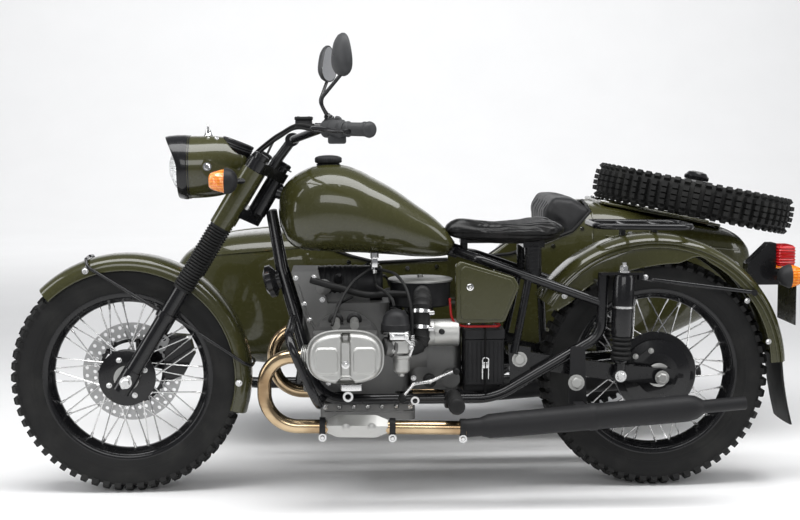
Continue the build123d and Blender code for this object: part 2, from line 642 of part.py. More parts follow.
with BuildPart() as exhaust_headers:
    with BuildPart() as left_header:
        add(tube([(530, -284, 424), (400, -EXHAUST_Y, 424), (400, -EXHAUST_Y, 232), (949.7, -EXHAUST_Y, 220)],
                 19, [80, 92]))
        add(turned([(0, 19), (30, 31), (140, 31), (168, 19)], (566, -EXHAUST_Y, 230), (1, 0, -0.02)))
    add([left_header.part, mirrored(left_header.part)])
save(exhaust_headers.part, "exhaust_headers")

MUFFLER_OUTLINE = [(0, 24), (36, 24), (54, 33), (330, 35), (334, 37), (352, 37), (356, 35), (610, 37),
                   (640, 28), (650, 18), (766, 18)]
with BuildPart() as mufflers:
    with BuildPart() as left_muffler:
        add(turned(MUFFLER_OUTLINE, (952, -EXHAUST_Y, 220), (1, 0, 0.08)))
        add(slab([(1240, 266), (1290, 266), (1284, 430), (1244, 430)], -178, -184))
        add(rod((1264, -180, 412), (1264, -RAIL_Y - RAIL_RADIUS - 0.3, 412), 9))
        add(box((1250, 1280), (-254, -178), (268, 276)))
    add([left_muffler.part, mirrored(left_muffler.part)])
save(mufflers.part, "mufflers")

# Tank, saddle and covers
TANK_SECTIONS = [(443, 40, 765, 848), (474, 92, 703, 891), (540, 128, 686, 929), (640, 134, 682, 924),
                 (760, 108, 674, 862), (870, 72, 667, 786), (934, 40, 686, 724)]
with BuildPart() as fuel_tank:
    for x, half_width, low, high in TANK_SECTIONS:
        with BuildSketch(cross_plane(x)):
            with Locations((0, (low + high) / 2)):
                Ellipse(half_width, (high - low) / 2)
    loft()
    add(slab([(420, 640), (420, 884), (560, 838), (950, 699.7), (950, 640)], 27, -27), mode=Mode.SUBTRACT)
save(fuel_tank.part, "fuel_tank")

with BuildPart() as filler_cap:
    add(turned([(0, 30), (4, 36), (16, 36), (22, 26)], (575, 0, 935), (0.02, 0, 1)))
save(filler_cap.part, "filler_cap")

with BuildPart() as rider_saddle:
    SADDLE_OUTLINE = [(900, 34), (960, 48), (1060, 118), (1140, 158), (1210, 152), (1244, 100)]
    with BuildSketch(Plane.XY.offset(722)):
        with BuildLine():
            FilletPolyline(*SADDLE_OUTLINE, *[(x, -y) for x, y in reversed(SADDLE_OUTLINE)],
                           radius=20, close=True)
        make_face()
    extrude(amount=46)
    fillet(rider_saddle.edges().group_by(Axis.Z)[-1], 18)
    add(slab([(880, 700), (880, 776), (912, 760), (946, 724), (946, 700)], 90, -90), mode=Mode.SUBTRACT)
save(rider_saddle.part, "rider_saddle")

with BuildPart() as saddle_mount:
    add(box((950, 1190), (-24, 24), (706, 721.6)))
    add(box((1120, 1180), (-110, 110), (700, 721.6)))
    add([rod((1150, side * 92, 622), (1150, side * 92, 702), 24) for side in SIDES])
    add(rod((1150, -122, 628), (1150, 122, 628), 9))
    add(rod((962, 0, 670), (962, 0, 708), 11))
    add([seat_tube(side, 0.2) for side in SIDES], mode=Mode.SUBTRACT)
    add(rod(*BACKBONE, BACKBONE_RADIUS + 0.2), mode=Mode.SUBTRACT)
save(saddle_mount.part, "saddle_mount")

COVER_CORNERS = [(926, 494), (1062, 494), (1104, 596), (1090, 622), (926, 672)]
with BuildPart() as side_covers:
    with BuildPart() as left_side_cover:
        with BuildSketch(side_plane(-150)):
            with BuildLine():
                FilletPolyline(*COVER_CORNERS, radius=16, close=True)
            make_face()
        extrude(amount=14)
        add(rod((966, -160, 600), (966, -170, 600), 12))
        add(rod((1040, -151, 628), (1040, -100, 628), 9))
    add([left_side_cover.part, mirrored(left_side_cover.part)])
save(side_covers.part, "side_covers")

with BuildPart() as battery:
    add(box((952, 1064), (-146, -36), (318, 474), 6))
    add(box((950, 1060), (-118, 60), (292.3, 318), 4))
    add(box((1000, 1020), (-149, -33), (312, 477)))
save(battery.part, "battery")

# Rear suspension
ARM_OUTLINE = [(1086, 402), (1086, 372), (1180, 352), (1380, 322), (1540, 308), (1552, 332), (1540, 354),
               (1400, 366), (1180, 398), (1120, 410)]
with BuildPart() as swing_arm:
    for side in SIDES:
        add(slab(ARM_OUTLINE, side * 108 + 14, side * 108 - 14))
        add(rod((1388, side * 116, 342), (1388, side * 166, 342), 10))
    add(rod((PIVOT[0], -108, PIVOT[1]), (PIVOT[0], 108, PIVOT[1]), 20))
    add(rod((WHEELBASE, -140, TYRE_RADIUS), (WHEELBASE, 140, TYRE_RADIUS), AXLE_RADIUS))
save(swing_arm.part, "swing_arm")

with BuildPart() as rear_brake:
    add(turned([(0, 97), (6, 97), (14, 60), (16, 28), (28.5, 28)], (WHEELBASE, -65, TYRE_RADIUS), (0, -1, 0)))
    add(slab([(1440, 372), (1454, 358), (1500, 398), (1490, 412)], -76, -84))
    add(rod((WHEELBASE, -40, TYRE_RADIUS), (WHEELBASE, -130, TYRE_RADIUS), AXLE_RADIUS + 0.2),
        mode=Mode.SUBTRACT)
save(rear_brake.part, "rear_brake")

with BuildPart() as final_drive:
    add(turned([(0, 84), (10, 92), (22, 88), (28.5, 50)], (WHEELBASE, 65, TYRE_RADIUS), (0, 1, 0)))
    add(rod((WHEELBASE - 60, 79, TYRE_RADIUS), (948.3, 79, 346), 13))
    add(rod((WHEELBASE, 40, TYRE_RADIUS), (WHEELBASE, 130, TYRE_RADIUS), AXLE_RADIUS + 0.2),
        mode=Mode.SUBTRACT)
save(final_drive.part, "final_drive")

with BuildPart() as rear_shocks:
    with BuildPart() as left_shock:
        foot = (1388, -SHOCK_Y, 342)
        axis = Vector(SHOCK_X, 0, EAR_Z) - Vector(1388, 0, 342)
        bellows = [(52 + 7 * step, 30 if step % 2 else 25) for step in range(9)]
        add(turned([(0, 16), (34, 16), (44, 25), *bellows, (116, 30), (288, 30)], foot, axis))
        add(rod((SHOCK_X, -SHOCK_Y, EAR_Z - 3), (SHOCK_X, -SHOCK_Y, EAR_Z + 34), 6.7))
        add(rod((SHOCK_X, -SHOCK_Y, EAR_Z + 7.3), (SHOCK_X, -SHOCK_Y, EAR_Z + 30), 12))
        add(rod((1388, -SHOCK_Y - 11, 342), (1388, -SHOCK_Y + 11, 342), 19))
        add(box((1300, 1460), (-200, -100), (EAR_Z - 0.3, EAR_Z + 7.3)), mode=Mode.SUBTRACT)
        add(rod((SHOCK_X, -SHOCK_Y, EAR_Z - 3), (SHOCK_X, -SHOCK_Y, EAR_Z + 10), 6.7))
        add(rod((1388, -100, 342), (1388, -200, 342), 10.2), mode=Mode.SUBTRACT)
    add([left_shock.part, mirrored(left_shock.part)])
save(rear_shocks.part, "rear_shocks")

REAR_FENDER = {"crown": 388, "edge": 338, "half_width": 88, "sag": 18, "wall": 3, "from": 3, "to": 148,
               "beads": [352, 364]}
FENDER_CENTRE = (1500, 0, 345)
SKIRT = [(1452, 720), (1226, 640), (1176, 540), (1218, 516), (1262, 548), (1300, 580), (1360, 618),
         (1440, 634), (1560, 652), (1630, 672), (1650, 700), (1560, 724)]
with BuildPart() as rear_fender:
    add(fender(REAR_FENDER, FENDER_CENTRE))
    with BuildPart() as skirts:
        add([slab(SKIRT, 88, 85), slab(SKIRT, -85, -88)])
        reach = REAR_FENDER["crown"] - REAR_FENDER["sag"] - 1
        add(wheel_disc(FENDER_CENTRE, reach, 100), mode=Mode.INTERSECT)
    add(skirts.part)
    for side in SIDES:
        add(tube([(1443, side * SHOCK_Y, EAR_Z - 8), (1484, side * 100, 606), (1782, side * 94, 566)],
                 6, [40]))
        add(rod((1443, side * SHOCK_Y, EAR_Z - 14), (1443, side * SHOCK_Y, EAR_Z - 0.3), 9))
        add(rod((1780, side * 86, 566), (1780, side * 101, 566), 9))
save(rear_fender.part, "rear_fender")

with BuildPart() as mudflap:
    add(slab([(1859, 372), (1865, 372), (1897, 181), (1890, 181)], 80, -80))
    add(slab([(1860, 366), (1882.4, 366), (1882.4, 376), (1860, 376)], 24, -24))
save(mudflap.part, "mudflap")

RACK = [(1330, 0, 757), (1330, 98, 757), (1604, 98, 752), (1604, 0, 752)]
with BuildPart() as luggage_rack:
    half = tube(RACK, 9, [40, 40])
    add([half, mirrored(half)])
    add([rod((x, -98, 755), (x, 98, 754), 6) for x in (1420, 1512)])
    for x, z in ((1420, 700), (1512, 718)):
        add([rod((x, side * 14, z), (x, side * 14, 754), 7) for side in SIDES])
    add(wheel_disc(FENDER_CENTRE, REAR_FENDER["crown"] + 0.3, 60), mode=Mode.SUBTRACT)
save(luggage_rack.part, "luggage_rack")

PLATE = {"x": (1902, 1905), "half_width": 84, "z": (470, 600), "hole_z": 560, "hole_y": 60, "hole": 3.3}
with BuildPart() as tail_bracket:
    add(slab([(1780, 580), (1905, 580), (1905, 622), (1862, 628), (1862, 700), (1842, 700), (1780, 640)],
             26, -26))
    add(box(PLATE["x"], (-PLATE["half_width"], PLATE["half_width"]), PLATE["z"]))
    add([rod((1872, side * 20, 614), (1872, side * 92, 614), 9) for side in SIDES])
    add(wheel_disc(FENDER_CENTRE, REAR_FENDER["crown"] + 0.3, 100), mode=Mode.SUBTRACT)
    add([rod((1890, side * PLATE["hole_y"], PLATE["hole_z"]), (1920, side * PLATE["hole_y"], PLATE["hole_z"]),
             PLATE["hole"]) for side in SIDES], mode=Mode.SUBTRACT)
save(tail_bracket.part, "tail_bracket")

with BuildPart() as tail_lamps:
    with BuildSketch(cross_plane(1862.4)):
        with Locations((0, 664)):
            RectangleRounded(92, 64, 10)
    extrude(amount=44)
    with BuildSketch(cross_plane(1906.4)):
        with Locations((0, 664)):
            RectangleRounded(92, 64, 10)
    extrude(amount=11, taper=35)
    for side in SIDES:
        add(turned([(-28, 14), (-20, 26), (0, 32), (20, 32), (40, 22), (44, 10)], (1872, side * 112, 614),
                   (1, 0, 0)))
    add([rod((1872, side * 20, 614), (1872, side * 92.5, 614), 9.4) for side in SIDES], mode=Mode.SUBTRACT)
save(tail_lamps.part, "tail_lamps")

with BuildPart() as foot_controls:
    with BuildPart() as left_peg:
        add(rod((917, -195, 292), (917, -330, 292), 23))
        add(rod((917, -RAIL_Y - 14, 288), (917, -200, 292), 11))
        add(box((895, 936), (-RAIL_Y - 24, -RAIL_Y + 24), (RAIL_Z - 24, RAIL_Z + 24)))
        add(rod((860, -RAIL_Y, RAIL_Z), (980, -RAIL_Y, RAIL_Z), RAIL_RADIUS + 0.1), mode=Mode.SUBTRACT)
    add([left_peg.part, mirrored(left_peg.part)])
    add(rod((916, -112.3, 330), (916, -176, 330), 11))
    add(slab([(790, 344), (790, 356), (916, 342), (1010, 312), (1006, 300), (912, 322)], -168, -176))
    add([rod((796, -168, 350), (796, -230, 350), 10), rod((1004, -168, 308), (1004, -215, 308), 10)])
save(foot_controls.part, "foot_controls")

with BuildPart() as horn:
    add(turned([(0, 34), (8, 46), (22, 46), (34, 26), (44, 26)], (398, -64, 602), (0.95, -0.1, 0.25)))
    add(rod((430, -66, 604), (444, -72, 600), 8))
    add(main_tube(-1, 0.2), mode=Mode.SUBTRACT)
save(horn.part, "horn")

# Sidecar chassis
STRUTS = [(700, RAIL_Z + 12), (962, RAIL_Z + 12)]
BODY_SEATS = [(700, 267.7), (1180, 270.0)]
with BuildPart() as sidecar_frame:
    for start, end, corner in ((1200, 240, 140), (1180, 1560, 120)):
        add(tube([(start, FRAME_INNER_Y, FRAME_Z), (end, FRAME_INNER_Y, FRAME_Z),
                  (end, FRAME_OUTER_Y, FRAME_Z), (start, FRAME_OUTER_Y, FRAME_Z)],
                 FRAME_RADIUS, [corner, corner]))
    for x, seat_z in BODY_SEATS:
        add(rod((x, FRAME_INNER_Y, FRAME_Z), (x, FRAME_OUTER_Y, FRAME_Z), 14))
        add([rod((x, SIDECAR_Y + reach, FRAME_Z), (x, SIDECAR_Y + reach, seat_z), 16)
             for reach in (-115, 115)])
    for x, z in STRUTS:
        add(tube([(x, FRAME_INNER_Y, FRAME_Z), (x, FRAME_INNER_Y, z + 28), (x, RAIL_Y, z + 28),
                  (x, RAIL_Y, RAIL_Z)], 13, [24, 24]))
        add(rod((x - 22, RAIL_Y, RAIL_Z), (x + 22, RAIL_Y, RAIL_Z), 23))
    add(rod((472, FRAME_INNER_Y, FRAME_Z), (504, 112, 430), 12))
    add(rod((1250, FRAME_INNER_Y, FRAME_Z), (1200, 124, 594), 12))
    add(wheel_post())
    add(rod((1180, FRAME_OUTER_Y, FRAME_Z), (1180, 1052, FRAME_Z), 15))
    add([main_tube(1, 0.1), seat_tube(1, 0.2)], mode=Mode.SUBTRACT)
save(sidecar_frame.part, "sidecar_frame")

with BuildPart() as sidecar_suspension:
    add(rod((1180, 1024, FRAME_Z), (1180, 1064, FRAME_Z), 24))
    add(rod((1180, 1042, FRAME_Z), (SIDECAR_WHEEL[0], 1052, TYRE_RADIUS), 20))
    add(rod((SIDECAR_WHEEL[0], 1030, TYRE_RADIUS), (SIDECAR_WHEEL[0], 1072, TYRE_RADIUS), 30))
    add(rod((SIDECAR_WHEEL[0], 1040, TYRE_RADIUS), (SIDECAR_WHEEL[0], 1222, TYRE_RADIUS), AXLE_RADIUS))
    add(rod((1432, 1000, 326), (1432, 1052, 322), 11))
    add(turned([(0, 14), (30, 14), (36, 24), (150, 24), (156, 27), (336.7, 27)],
               (1432, 1004, 318), (0, 0, 1)))
    add(rod((1180, 1000, FRAME_Z), (1180, 1053, FRAME_Z), 15.2), mode=Mode.SUBTRACT)
save(sidecar_suspension.part, "sidecar_suspension")

SIDE_FENDER = {"crown": 396, "edge": 330, "half_width": 86, "sag": 22, "wall": 3, "from": 2, "to": 168,
               "beads": [350, 364]}
with BuildPart() as sidecar_fender:
    add(fender(SIDE_FENDER, SIDECAR_WHEEL))
    add(rod((1394, FRAME_OUTER_Y + 6, 590), (1360, 1066, 655), 8))
    add(tube([(1136, 1066, 420), (1136, 1010, 420), (1120, FRAME_OUTER_Y + 4, FRAME_Z + 6)], 8, [40]))
    add([wheel_post(0.3), rod((900, FRAME_OUTER_Y, FRAME_Z), (1300, FRAME_OUTER_Y, FRAME_Z),
                              FRAME_RADIUS + 0.3)], mode=Mode.SUBTRACT)
save(sidecar_fender.part, "sidecar_fender")

with BuildPart() as sidecar_lamp:
    foot = Vector(SIDECAR_WHEEL[0] - 120, SIDECAR_WHEEL[1], TYRE_RADIUS + 372)
    add(rod(foot, foot + Vector(0, 0, 50), 10))
    add(turned([(-40, 12), (-30, 26), (-4, 32), (8, 32), (30, 26), (40, 12)],
               foot + Vector(0, 0, 66), (1, 0, 0)))
    add(wheel_disc(SIDECAR_WHEEL, SIDE_FENDER["crown"] + 0.3, 40), mode=Mode.SUBTRACT)
save(sidecar_lamp.part, "sidecar_lamp")

# Sidecar body sections: X, bottom, top, half width, corner radius
NOSE_SECTIONS = [(66, 456, 562, 60, 44), (84, 405, 606, 104, 70), (116, 362, 640, 142, 86),
                 (170, 320, 670, 176, 94), (250, 290, 692, 206, 92), (360, 274, 704, 228, 86),
                 (520, 268, 712, 244, 78), (800, 268, 730, 254, 70), (1430, 272, 790, 252, 60)]
TAIL_SECTIONS = [(1430, 272, 790, 252, 60), (1640, 344, 748, 246, 60), (1850, 448, 706, 228, 60),
                 (1886, 474, 690, 214, 64), (1914, 500, 666, 192, 60), (1932, 532, 636, 162, 46)]
COAMING = [(470, 900), (500, 716), (560, 660), (640, 632), (720, 612), (960, 622), (1140, 636), (1220, 660),
           (1340, 706), (1412, 776), (1416, 900)]


def tub_solid(sections, inset):
    """Body through upright rounded sections, drawn in by the wall for its hollow."""
    with BuildPart() as piece:
        for index, (x, low, high, half_width, corner) in enumerate(sections):
            end = {0: inset, len(sections) - 1: -inset}.get(index, 0)
            with BuildSketch(cross_plane(x + end, SIDECAR_Y)):
                with Locations((0, (low + high) / 2)):
                    RectangleRounded(2 * (half_width - inset), high - low - 2 * inset, corner - inset)
        loft(ruled=True)
    return piece.part


def deck_plane(lift):
    """Plane on the rear deck at the lid's hinge, raised by a height; local x runs down the deck."""
    along = Vector(cos(DECK_SLOPE), 0, -sin(DECK_SLOPE))
    up = Vector(sin(DECK_SLOPE), 0, cos(DECK_SLOPE))
    foot = Vector(LID_HINGE_X, SIDECAR_Y, DECK_FRONT[1] - (LID_HINGE_X - DECK_FRONT[0]) * tan(DECK_SLOPE))
    return Plane(origin=foot + up * lift, x_dir=along, z_dir=up)


with BuildPart() as sidecar_body:
    add(tub_solid(NOSE_SECTIONS + TAIL_SECTIONS[1:], 0))
    add([tub_solid(NOSE_SECTIONS, TUB_WALL), tub_solid(TAIL_SECTIONS, TUB_WALL)], mode=Mode.SUBTRACT)
    with BuildSketch(side_plane(SIDECAR_Y + 400)):
        with BuildLine():
            FilletPolyline(*COAMING, radius=30, close=True)
        make_face()
    extrude(amount=800, mode=Mode.SUBTRACT)
    with BuildSketch(deck_plane(-30)):
        with Locations((LID_LENGTH / 2, 0)):
            RectangleRounded(LID_LENGTH - 2 * LID_LAP, 2 * (LID_HALF_WIDTH - LID_LAP), 20)
    extrude(amount=60, mode=Mode.SUBTRACT)
save(sidecar_body.part, "sidecar_body")

with BuildPart() as trunk_lid:
    with BuildSketch(deck_plane(LID_GAP)):
        with Locations((LID_LENGTH / 2, 0)):
            RectangleRounded(LID_LENGTH, 2 * LID_HALF_WIDTH, 34)
    extrude(amount=LID_THICK)
    tilt = deck_plane(0).z_dir
    centre = Vector(*SPARE_CENTRE)
    add(rod(centre - tilt * 66, centre - tilt * 60.3, 48))
    add(rod(centre - tilt * 62, centre + tilt * 74, AXLE_RADIUS))
    add(rod(centre + tilt * 60.3, centre + tilt * 82, 38))
save(trunk_lid.part, "trunk_lid")

with BuildPart() as sidecar_seat:
    add(box((930, 1320), (SIDECAR_Y - 180, SIDECAR_Y + 180), (281.8, 340)))
    add(box((900, 1330), (SIDECAR_Y - 215, SIDECAR_Y + 215), (330, 450.7), 40))
    with BuildSketch(side_plane(SIDECAR_Y + 215)):
        with BuildLine():
            FilletPolyline((1290, 451), (1396, 451), (1400, 700), (1396, 790), (1350, 822), (1284, 812),
                           (1264, 760), radius=[20, 60, 24, 30, 30, 40, 12], close=True)
        make_face()
    extrude(amount=430)
save(sidecar_seat.part, "sidecar_seat")
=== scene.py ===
import bpy
import numpy as np
from mathutils import Matrix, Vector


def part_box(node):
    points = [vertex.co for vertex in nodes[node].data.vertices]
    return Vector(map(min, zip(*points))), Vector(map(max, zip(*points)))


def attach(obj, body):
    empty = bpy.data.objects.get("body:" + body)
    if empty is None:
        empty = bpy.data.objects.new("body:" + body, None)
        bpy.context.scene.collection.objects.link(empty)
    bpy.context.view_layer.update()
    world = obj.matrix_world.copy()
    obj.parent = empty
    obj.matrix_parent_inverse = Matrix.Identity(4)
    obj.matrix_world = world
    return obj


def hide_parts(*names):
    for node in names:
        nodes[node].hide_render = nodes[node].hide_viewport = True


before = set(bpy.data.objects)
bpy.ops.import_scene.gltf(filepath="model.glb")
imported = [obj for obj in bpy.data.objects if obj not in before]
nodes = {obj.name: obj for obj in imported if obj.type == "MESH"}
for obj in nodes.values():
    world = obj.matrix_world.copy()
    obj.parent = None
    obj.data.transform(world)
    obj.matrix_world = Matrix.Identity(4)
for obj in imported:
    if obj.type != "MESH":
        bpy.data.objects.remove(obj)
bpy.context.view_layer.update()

# All places below are millimetres: X rearward from the front axle, Y from the bike's centre plane
# towards the sidecar, Z up from the floor. DATUM carries them to the frame's metres.
tyre_low, tyre_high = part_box("front_tyre")
DATUM = ((tyre_low.x + tyre_high.x) / 2, (tyre_low.y + tyre_high.y) / 2, 0)
MM = 0.001
SIDES = (-1, 1)

# Driving places, as in the part's source
TYRE_RADIUS = 332
FRONT_AXLE = (0, 0, TYRE_RADIUS)
REAR_AXLE = (1510, 0, TYRE_RADIUS)
SIDECAR_AXLE = (1480, 1150, TYRE_RADIUS)
SIDECAR_Y = 655
SPARE_CENTRE = (1780, SIDECAR_Y, 796)
DECK_SLOPE = np.arctan(0.2)
RAKE = np.radians(31.5)
LEG_FOOT_X = 8
LEG_Y = 100
ENGINE_X = 620
HEAD_FACE_Y = 312
EXHAUST_Y = 258
# Ways that things point
LEFT, RIGHT, UP, BACK = (0, -1, 0), (0, 1, 0), (0, 0, 1), (1, 0, 0)
# A direction that no axle, bolt or bar here lies along: sideways is reckoned from it
ASKEW = (0.31, 0.22, 0.93)


# Shapes: a shape is its points and a list of arrays of corner numbers
def volume(points, faces):
    """Six times the signed volume: each face as a fan of triangles against the origin."""
    total = 0.0
    for corners in faces:
        fan = points[corners]
        for k in range(1, fan.shape[1] - 1):
            total += np.einsum("ij,ij->", fan[:, 0], np.cross(fan[:, k], fan[:, k + 1]))
    return total


def grid(points, loop_u=False, loop_v=False, caps=True, flip=False):
    """Surface over points [..., u, v]: quads between neighbours, wrapped where looped. A
    tube, looped round v only, gets its ends closed. A closed surface is turned to face
    outwards by the sign of its volume."""
    points = np.asarray(points, float)
    batch = points.reshape(-1, *points.shape[-3:])
    index = np.arange(batch[..., 0].size).reshape(batch.shape[:3])
    if loop_u:
        index = np.concatenate([index, index[:, :1]], 1)
    if loop_v:
        index = np.concatenate([index, index[:, :, :1]], 2)
    quads = np.stack([index[:, :-1, :-1], index[:, 1:, :-1], index[:, 1:, 1:], index[:, :-1, 1:]], -1)
    faces = [quads.reshape(-1, 4)]
    if loop_v and caps and not loop_u:
        faces += [index[:, 0, -2::-1], index[:, -1, :-1]]
    flat = batch.reshape(-1, 3)
    closed = loop_v and (caps or loop_u)
    if flip or (closed and volume(flat, faces) < 0):
        faces = [corners[:, ::-1] for corners in faces]
    return flat, faces


def join(*shapes):
    """Several shapes as one: corner numbers move up by the points before them."""
    starts = np.cumsum([0] + [len(points) for points, _ in shapes])
    faces = [corners + start for (_, arrays), start in zip(shapes, starts) for corners in arrays]
    return np.concatenate([points for points, _ in shapes]), faces


def mirrored(shape):
    """The shape on the other side of the bike's centre plane, its faces turned back outwards."""
    points, faces = shape
    return points * (1, -1, 1), [corners[:, ::-1] for corners in faces]


def both(shape):
    """The shape and its mirror image."""
    return join(shape, mirrored(shape))


def moved(shape, offset, turn=None):
    """The shape turned by a matrix and then shifted."""
    points, faces = shape
    return (points if turn is None else points @ np.asarray(turn).T) + offset, faces


def unit(vectors):
    """Vectors cut to length one."""
    vectors = np.asarray(vectors, float)
    return vectors / np.linalg.norm(vectors, axis=-1, keepdims=True)


def smooth(at, places, values):
    """Values along a line of places, joined by cubics that never overshoot: the slope at a place is the
    harmonic mean of the slopes beside it, and zero at a peak."""
    places = np.asarray(places, float)
    values = np.asarray(values, float).reshape(len(places), -1)
    at = np.atleast_1d(np.asarray(at, float))
    step = np.diff(places)[:, None]
    slope = np.diff(values, axis=0) / step
    product = slope[:-1] * slope[1:]
    rising = product > 1e-12
    inner = np.where(rising, 2 * product / np.where(rising, slope[:-1] + slope[1:], 1), 0)
    tangent = np.vstack([slope[:1], inner, slope[-1:]])
    k = np.clip(np.searchsorted(places, at, side="right") - 1, 0, len(places) - 2)
    t = np.clip((at - places[k]) / step[k, 0], 0, 1)[:, None]
    return (values[k] * (1 + 2 * t) * (1 - t) ** 2 + tangent[k] * step[k] * t * (1 - t) ** 2
            + values[k + 1] * t * t * (3 - 2 * t) + tangent[k + 1] * step[k] * t * t * (t - 1))


def curve(points, count):
    """Smooth line through points, evenly spaced along their chords."""
    points = np.asarray(points, float)
    length = np.r_[0, np.cumsum(np.linalg.norm(np.diff(points, axis=0), axis=1))]
    return smooth(np.linspace(0, length[-1], count), length, points)


def bent(route, radii, steps=9):
    """Straight legs joined by arcs: each corner is swung through its angle
    about the centre of its fillet."""
    route = np.asarray(route, float)
    line = [route[:1]]
    for before, corner, after, radius in zip(route[:-2], route[1:-1], route[2:], radii):
        a, b = unit(before - corner), unit(after - corner)
        half = np.arccos(np.clip(a @ b, -1, 1)) / 2
        centre = corner + unit(a + b) * radius / np.sin(half)
        start, end = corner + a * radius / np.tan(half) - centre, corner + b * radius / np.tan(half) - centre
        swing = np.pi - 2 * half
        t = np.linspace(0, 1, steps)[:, None]
        line.append(centre + (np.sin((1 - t) * swing) * start + np.sin(t * swing) * end) / np.sin(swing))
    return np.vstack(line + [route[-1:]])


def ring_angles(sides):
    """Even angles round a circle."""
    return 2 * np.pi * np.arange(sides) / sides


def bulge(value, power):
    """A cosine or sine raised to a power with its sign kept: a superellipse instead of a circle."""
    return np.sign(value) * abs(value) ** power


def carry(path, radius, sides=14, flat=1.0):
    """Tube along a path: circles square to it, set out from the path's own
    plane and flattened by a factor."""
    path = np.asarray(path, float)
    tangent = unit(np.gradient(path, axis=0))
    normal = np.linalg.svd(path - path.mean(0))[2][-1]
    side = unit(np.cross(tangent, normal))
    rise = np.cross(side, tangent)
    turn = ring_angles(sides)[None, :, None]
    size = np.broadcast_to(radius, len(path))[:, None, None]
    ring = np.cos(turn) * side[:, None] + flat * np.sin(turn) * rise[:, None]
    return grid(path[:, None] + size * ring, loop_v=True)


def lathe(profile, start, axis, sides=48, ring=False):
    """Profile of (reach along the axis, radius) spun about the axis; a ring's profile closes on itself."""
    reach, radius = np.asarray(profile, float).T[:, :, None, None]
    along = unit(axis)
    side = unit(np.cross(along, ASKEW))
    turn = ring_angles(sides)[None, :, None]
    spun = np.cos(turn) * side + np.sin(turn) * np.cross(along, side)
    return grid(np.asarray(start, float) + reach * along + np.maximum(radius, 0.2) * spun, loop_u=ring,
                loop_v=True)


def hoop(span, radii, start, axis, sides=48):
    """Flat hoop: a rectangle of reach along the axis and radius, spun about the axis."""
    (near, far), (inner, outer) = span, radii
    return lathe([(near, inner), (near, outer), (far, outer), (far, inner)], start, axis, sides, ring=True)


def rods(starts, ends, radius, sides=8):
    """Many straight bars at once: a small circle at each start and end."""
    starts, ends = np.broadcast_arrays(np.asarray(starts, float), np.asarray(ends, float))
    starts, ends = starts.reshape(-1, 3), ends.reshape(-1, 3)
    along = unit(ends - starts)
    side = unit(np.cross(along, ASKEW))
    turn = ring_angles(sides)[None, :, None]
    ring = np.cos(turn) * side[:, None] + np.sin(turn) * np.cross(along, side)[:, None]
    return grid(np.stack([starts[:, None] + radius * ring, ends[:, None] + radius * ring], 1), loop_v=True)


def bolts(places, axis, radius, height):
    """Hexagon heads with a chamfered top and a round washer, all pointing along one axis."""
    places = np.asarray(places, float).reshape(-1, 3)
    along = unit(axis)
    side = unit(np.cross(along, ASKEW))

    def stack(levels, sides):
        turn = ring_angles(sides)[None, None, :, None]
        reach, size = np.asarray(levels, float).T[:, None, :, None, None]
        spun = np.cos(turn) * side + np.sin(turn) * np.cross(along, side)
        return grid(places[:, None, None] + reach * along + size * spun, loop_v=True)

    washer = stack([(-1, radius * 1.35), (height * 0.2, radius * 1.35)], 14)
    head = stack([(0, radius), (height * 0.8, radius), (height, radius * 0.78)], 6)
    return join(washer, head)


def brick(x_span, y_span, z_span, round_off=6, sides=28, power=6):
    """Block with rounded edges: a superellipse in plan, drawn in at its top
    and bottom by a quarter circle."""
    low, high = np.asarray([x_span, y_span, z_span], float).T
    middle, half = (low + high) / 2, (high - low) / 2
    turn = ring_angles(sides * 2)
    plan = np.stack([bulge(np.cos(turn), 2 / power),
                     bulge(np.sin(turn), 2 / power)], -1)
    swing = np.linspace(0, np.pi / 2, 5)
    inset = np.r_[round_off * (1 - np.sin(swing)), round_off * (1 - np.cos(swing))]
    level = np.r_[low[2] + round_off * (1 - np.cos(swing)), high[2] - round_off * (1 - np.sin(swing))]
    flat = plan[None] * (half[:2] - inset[:, None])[:, None] + middle[:2]
    height = np.broadcast_to(level[:, None, None], (*flat.shape[:2], 1))
    return grid(np.concatenate([flat, height], -1), loop_v=True)


def plate(outline, y_from, y_to, edge=3):
    """Panel from an outline in X and Z, its front edge drawn in along a quarter circle."""
    outline = np.asarray(outline, float)
    centre = outline.mean(0)
    outward = unit(outline - centre)
    swing = np.linspace(0, np.pi / 2, 4)
    inset = np.r_[0, edge * (1 - np.cos(swing))]
    level = np.r_[y_from, y_to - np.sign(y_to - y_from) * edge * (1 - np.sin(swing))]
    flat = outline[None] - inset[:, None, None] * outward[None]
    depth = np.broadcast_to(level[:, None, None], (*flat.shape[:2], 1))
    return grid(np.concatenate([flat[..., :1], depth, flat[..., 1:]], -1), loop_v=True)


def rounded(corners, radius, steps=6):
    """Closed outline whose corners are arcs of one radius."""
    corners = np.asarray(corners, float)
    count = len(corners)
    arcs = [bent(corners[[k - 1, k, (k + 1) % count]], [radius], steps)[1:-1] for k in range(count)]
    return np.vstack(arcs)


def piece(name, shape, finish, replaces=(), body="chassis", sharp=35, wall=0):
    """Mesh object of a shape: carried to the frame's metres, smooth up to an
    angle, with a wall where it is thin."""
    points, faces = shape
    mesh = bpy.data.meshes.new(name)
    corners = [row for array in faces for row in array.tolist()]
    mesh.from_pydata((points * MM + DATUM).tolist(), [], corners)
    mesh.shade_smooth()
    mesh.set_sharp_from_angle(angle=np.radians(sharp))
    mesh.materials.append(finish.material)
    made = bpy.data.objects.new(name, mesh)
    bpy.context.scene.collection.objects.link(made)
    if wall:
        shell = made.modifiers.new("wall", "SOLIDIFY")
        shell.thickness = wall * MM
        shell.offset = -1
    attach(made, body)
    if replaces:
        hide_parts(*replaces)
    return made


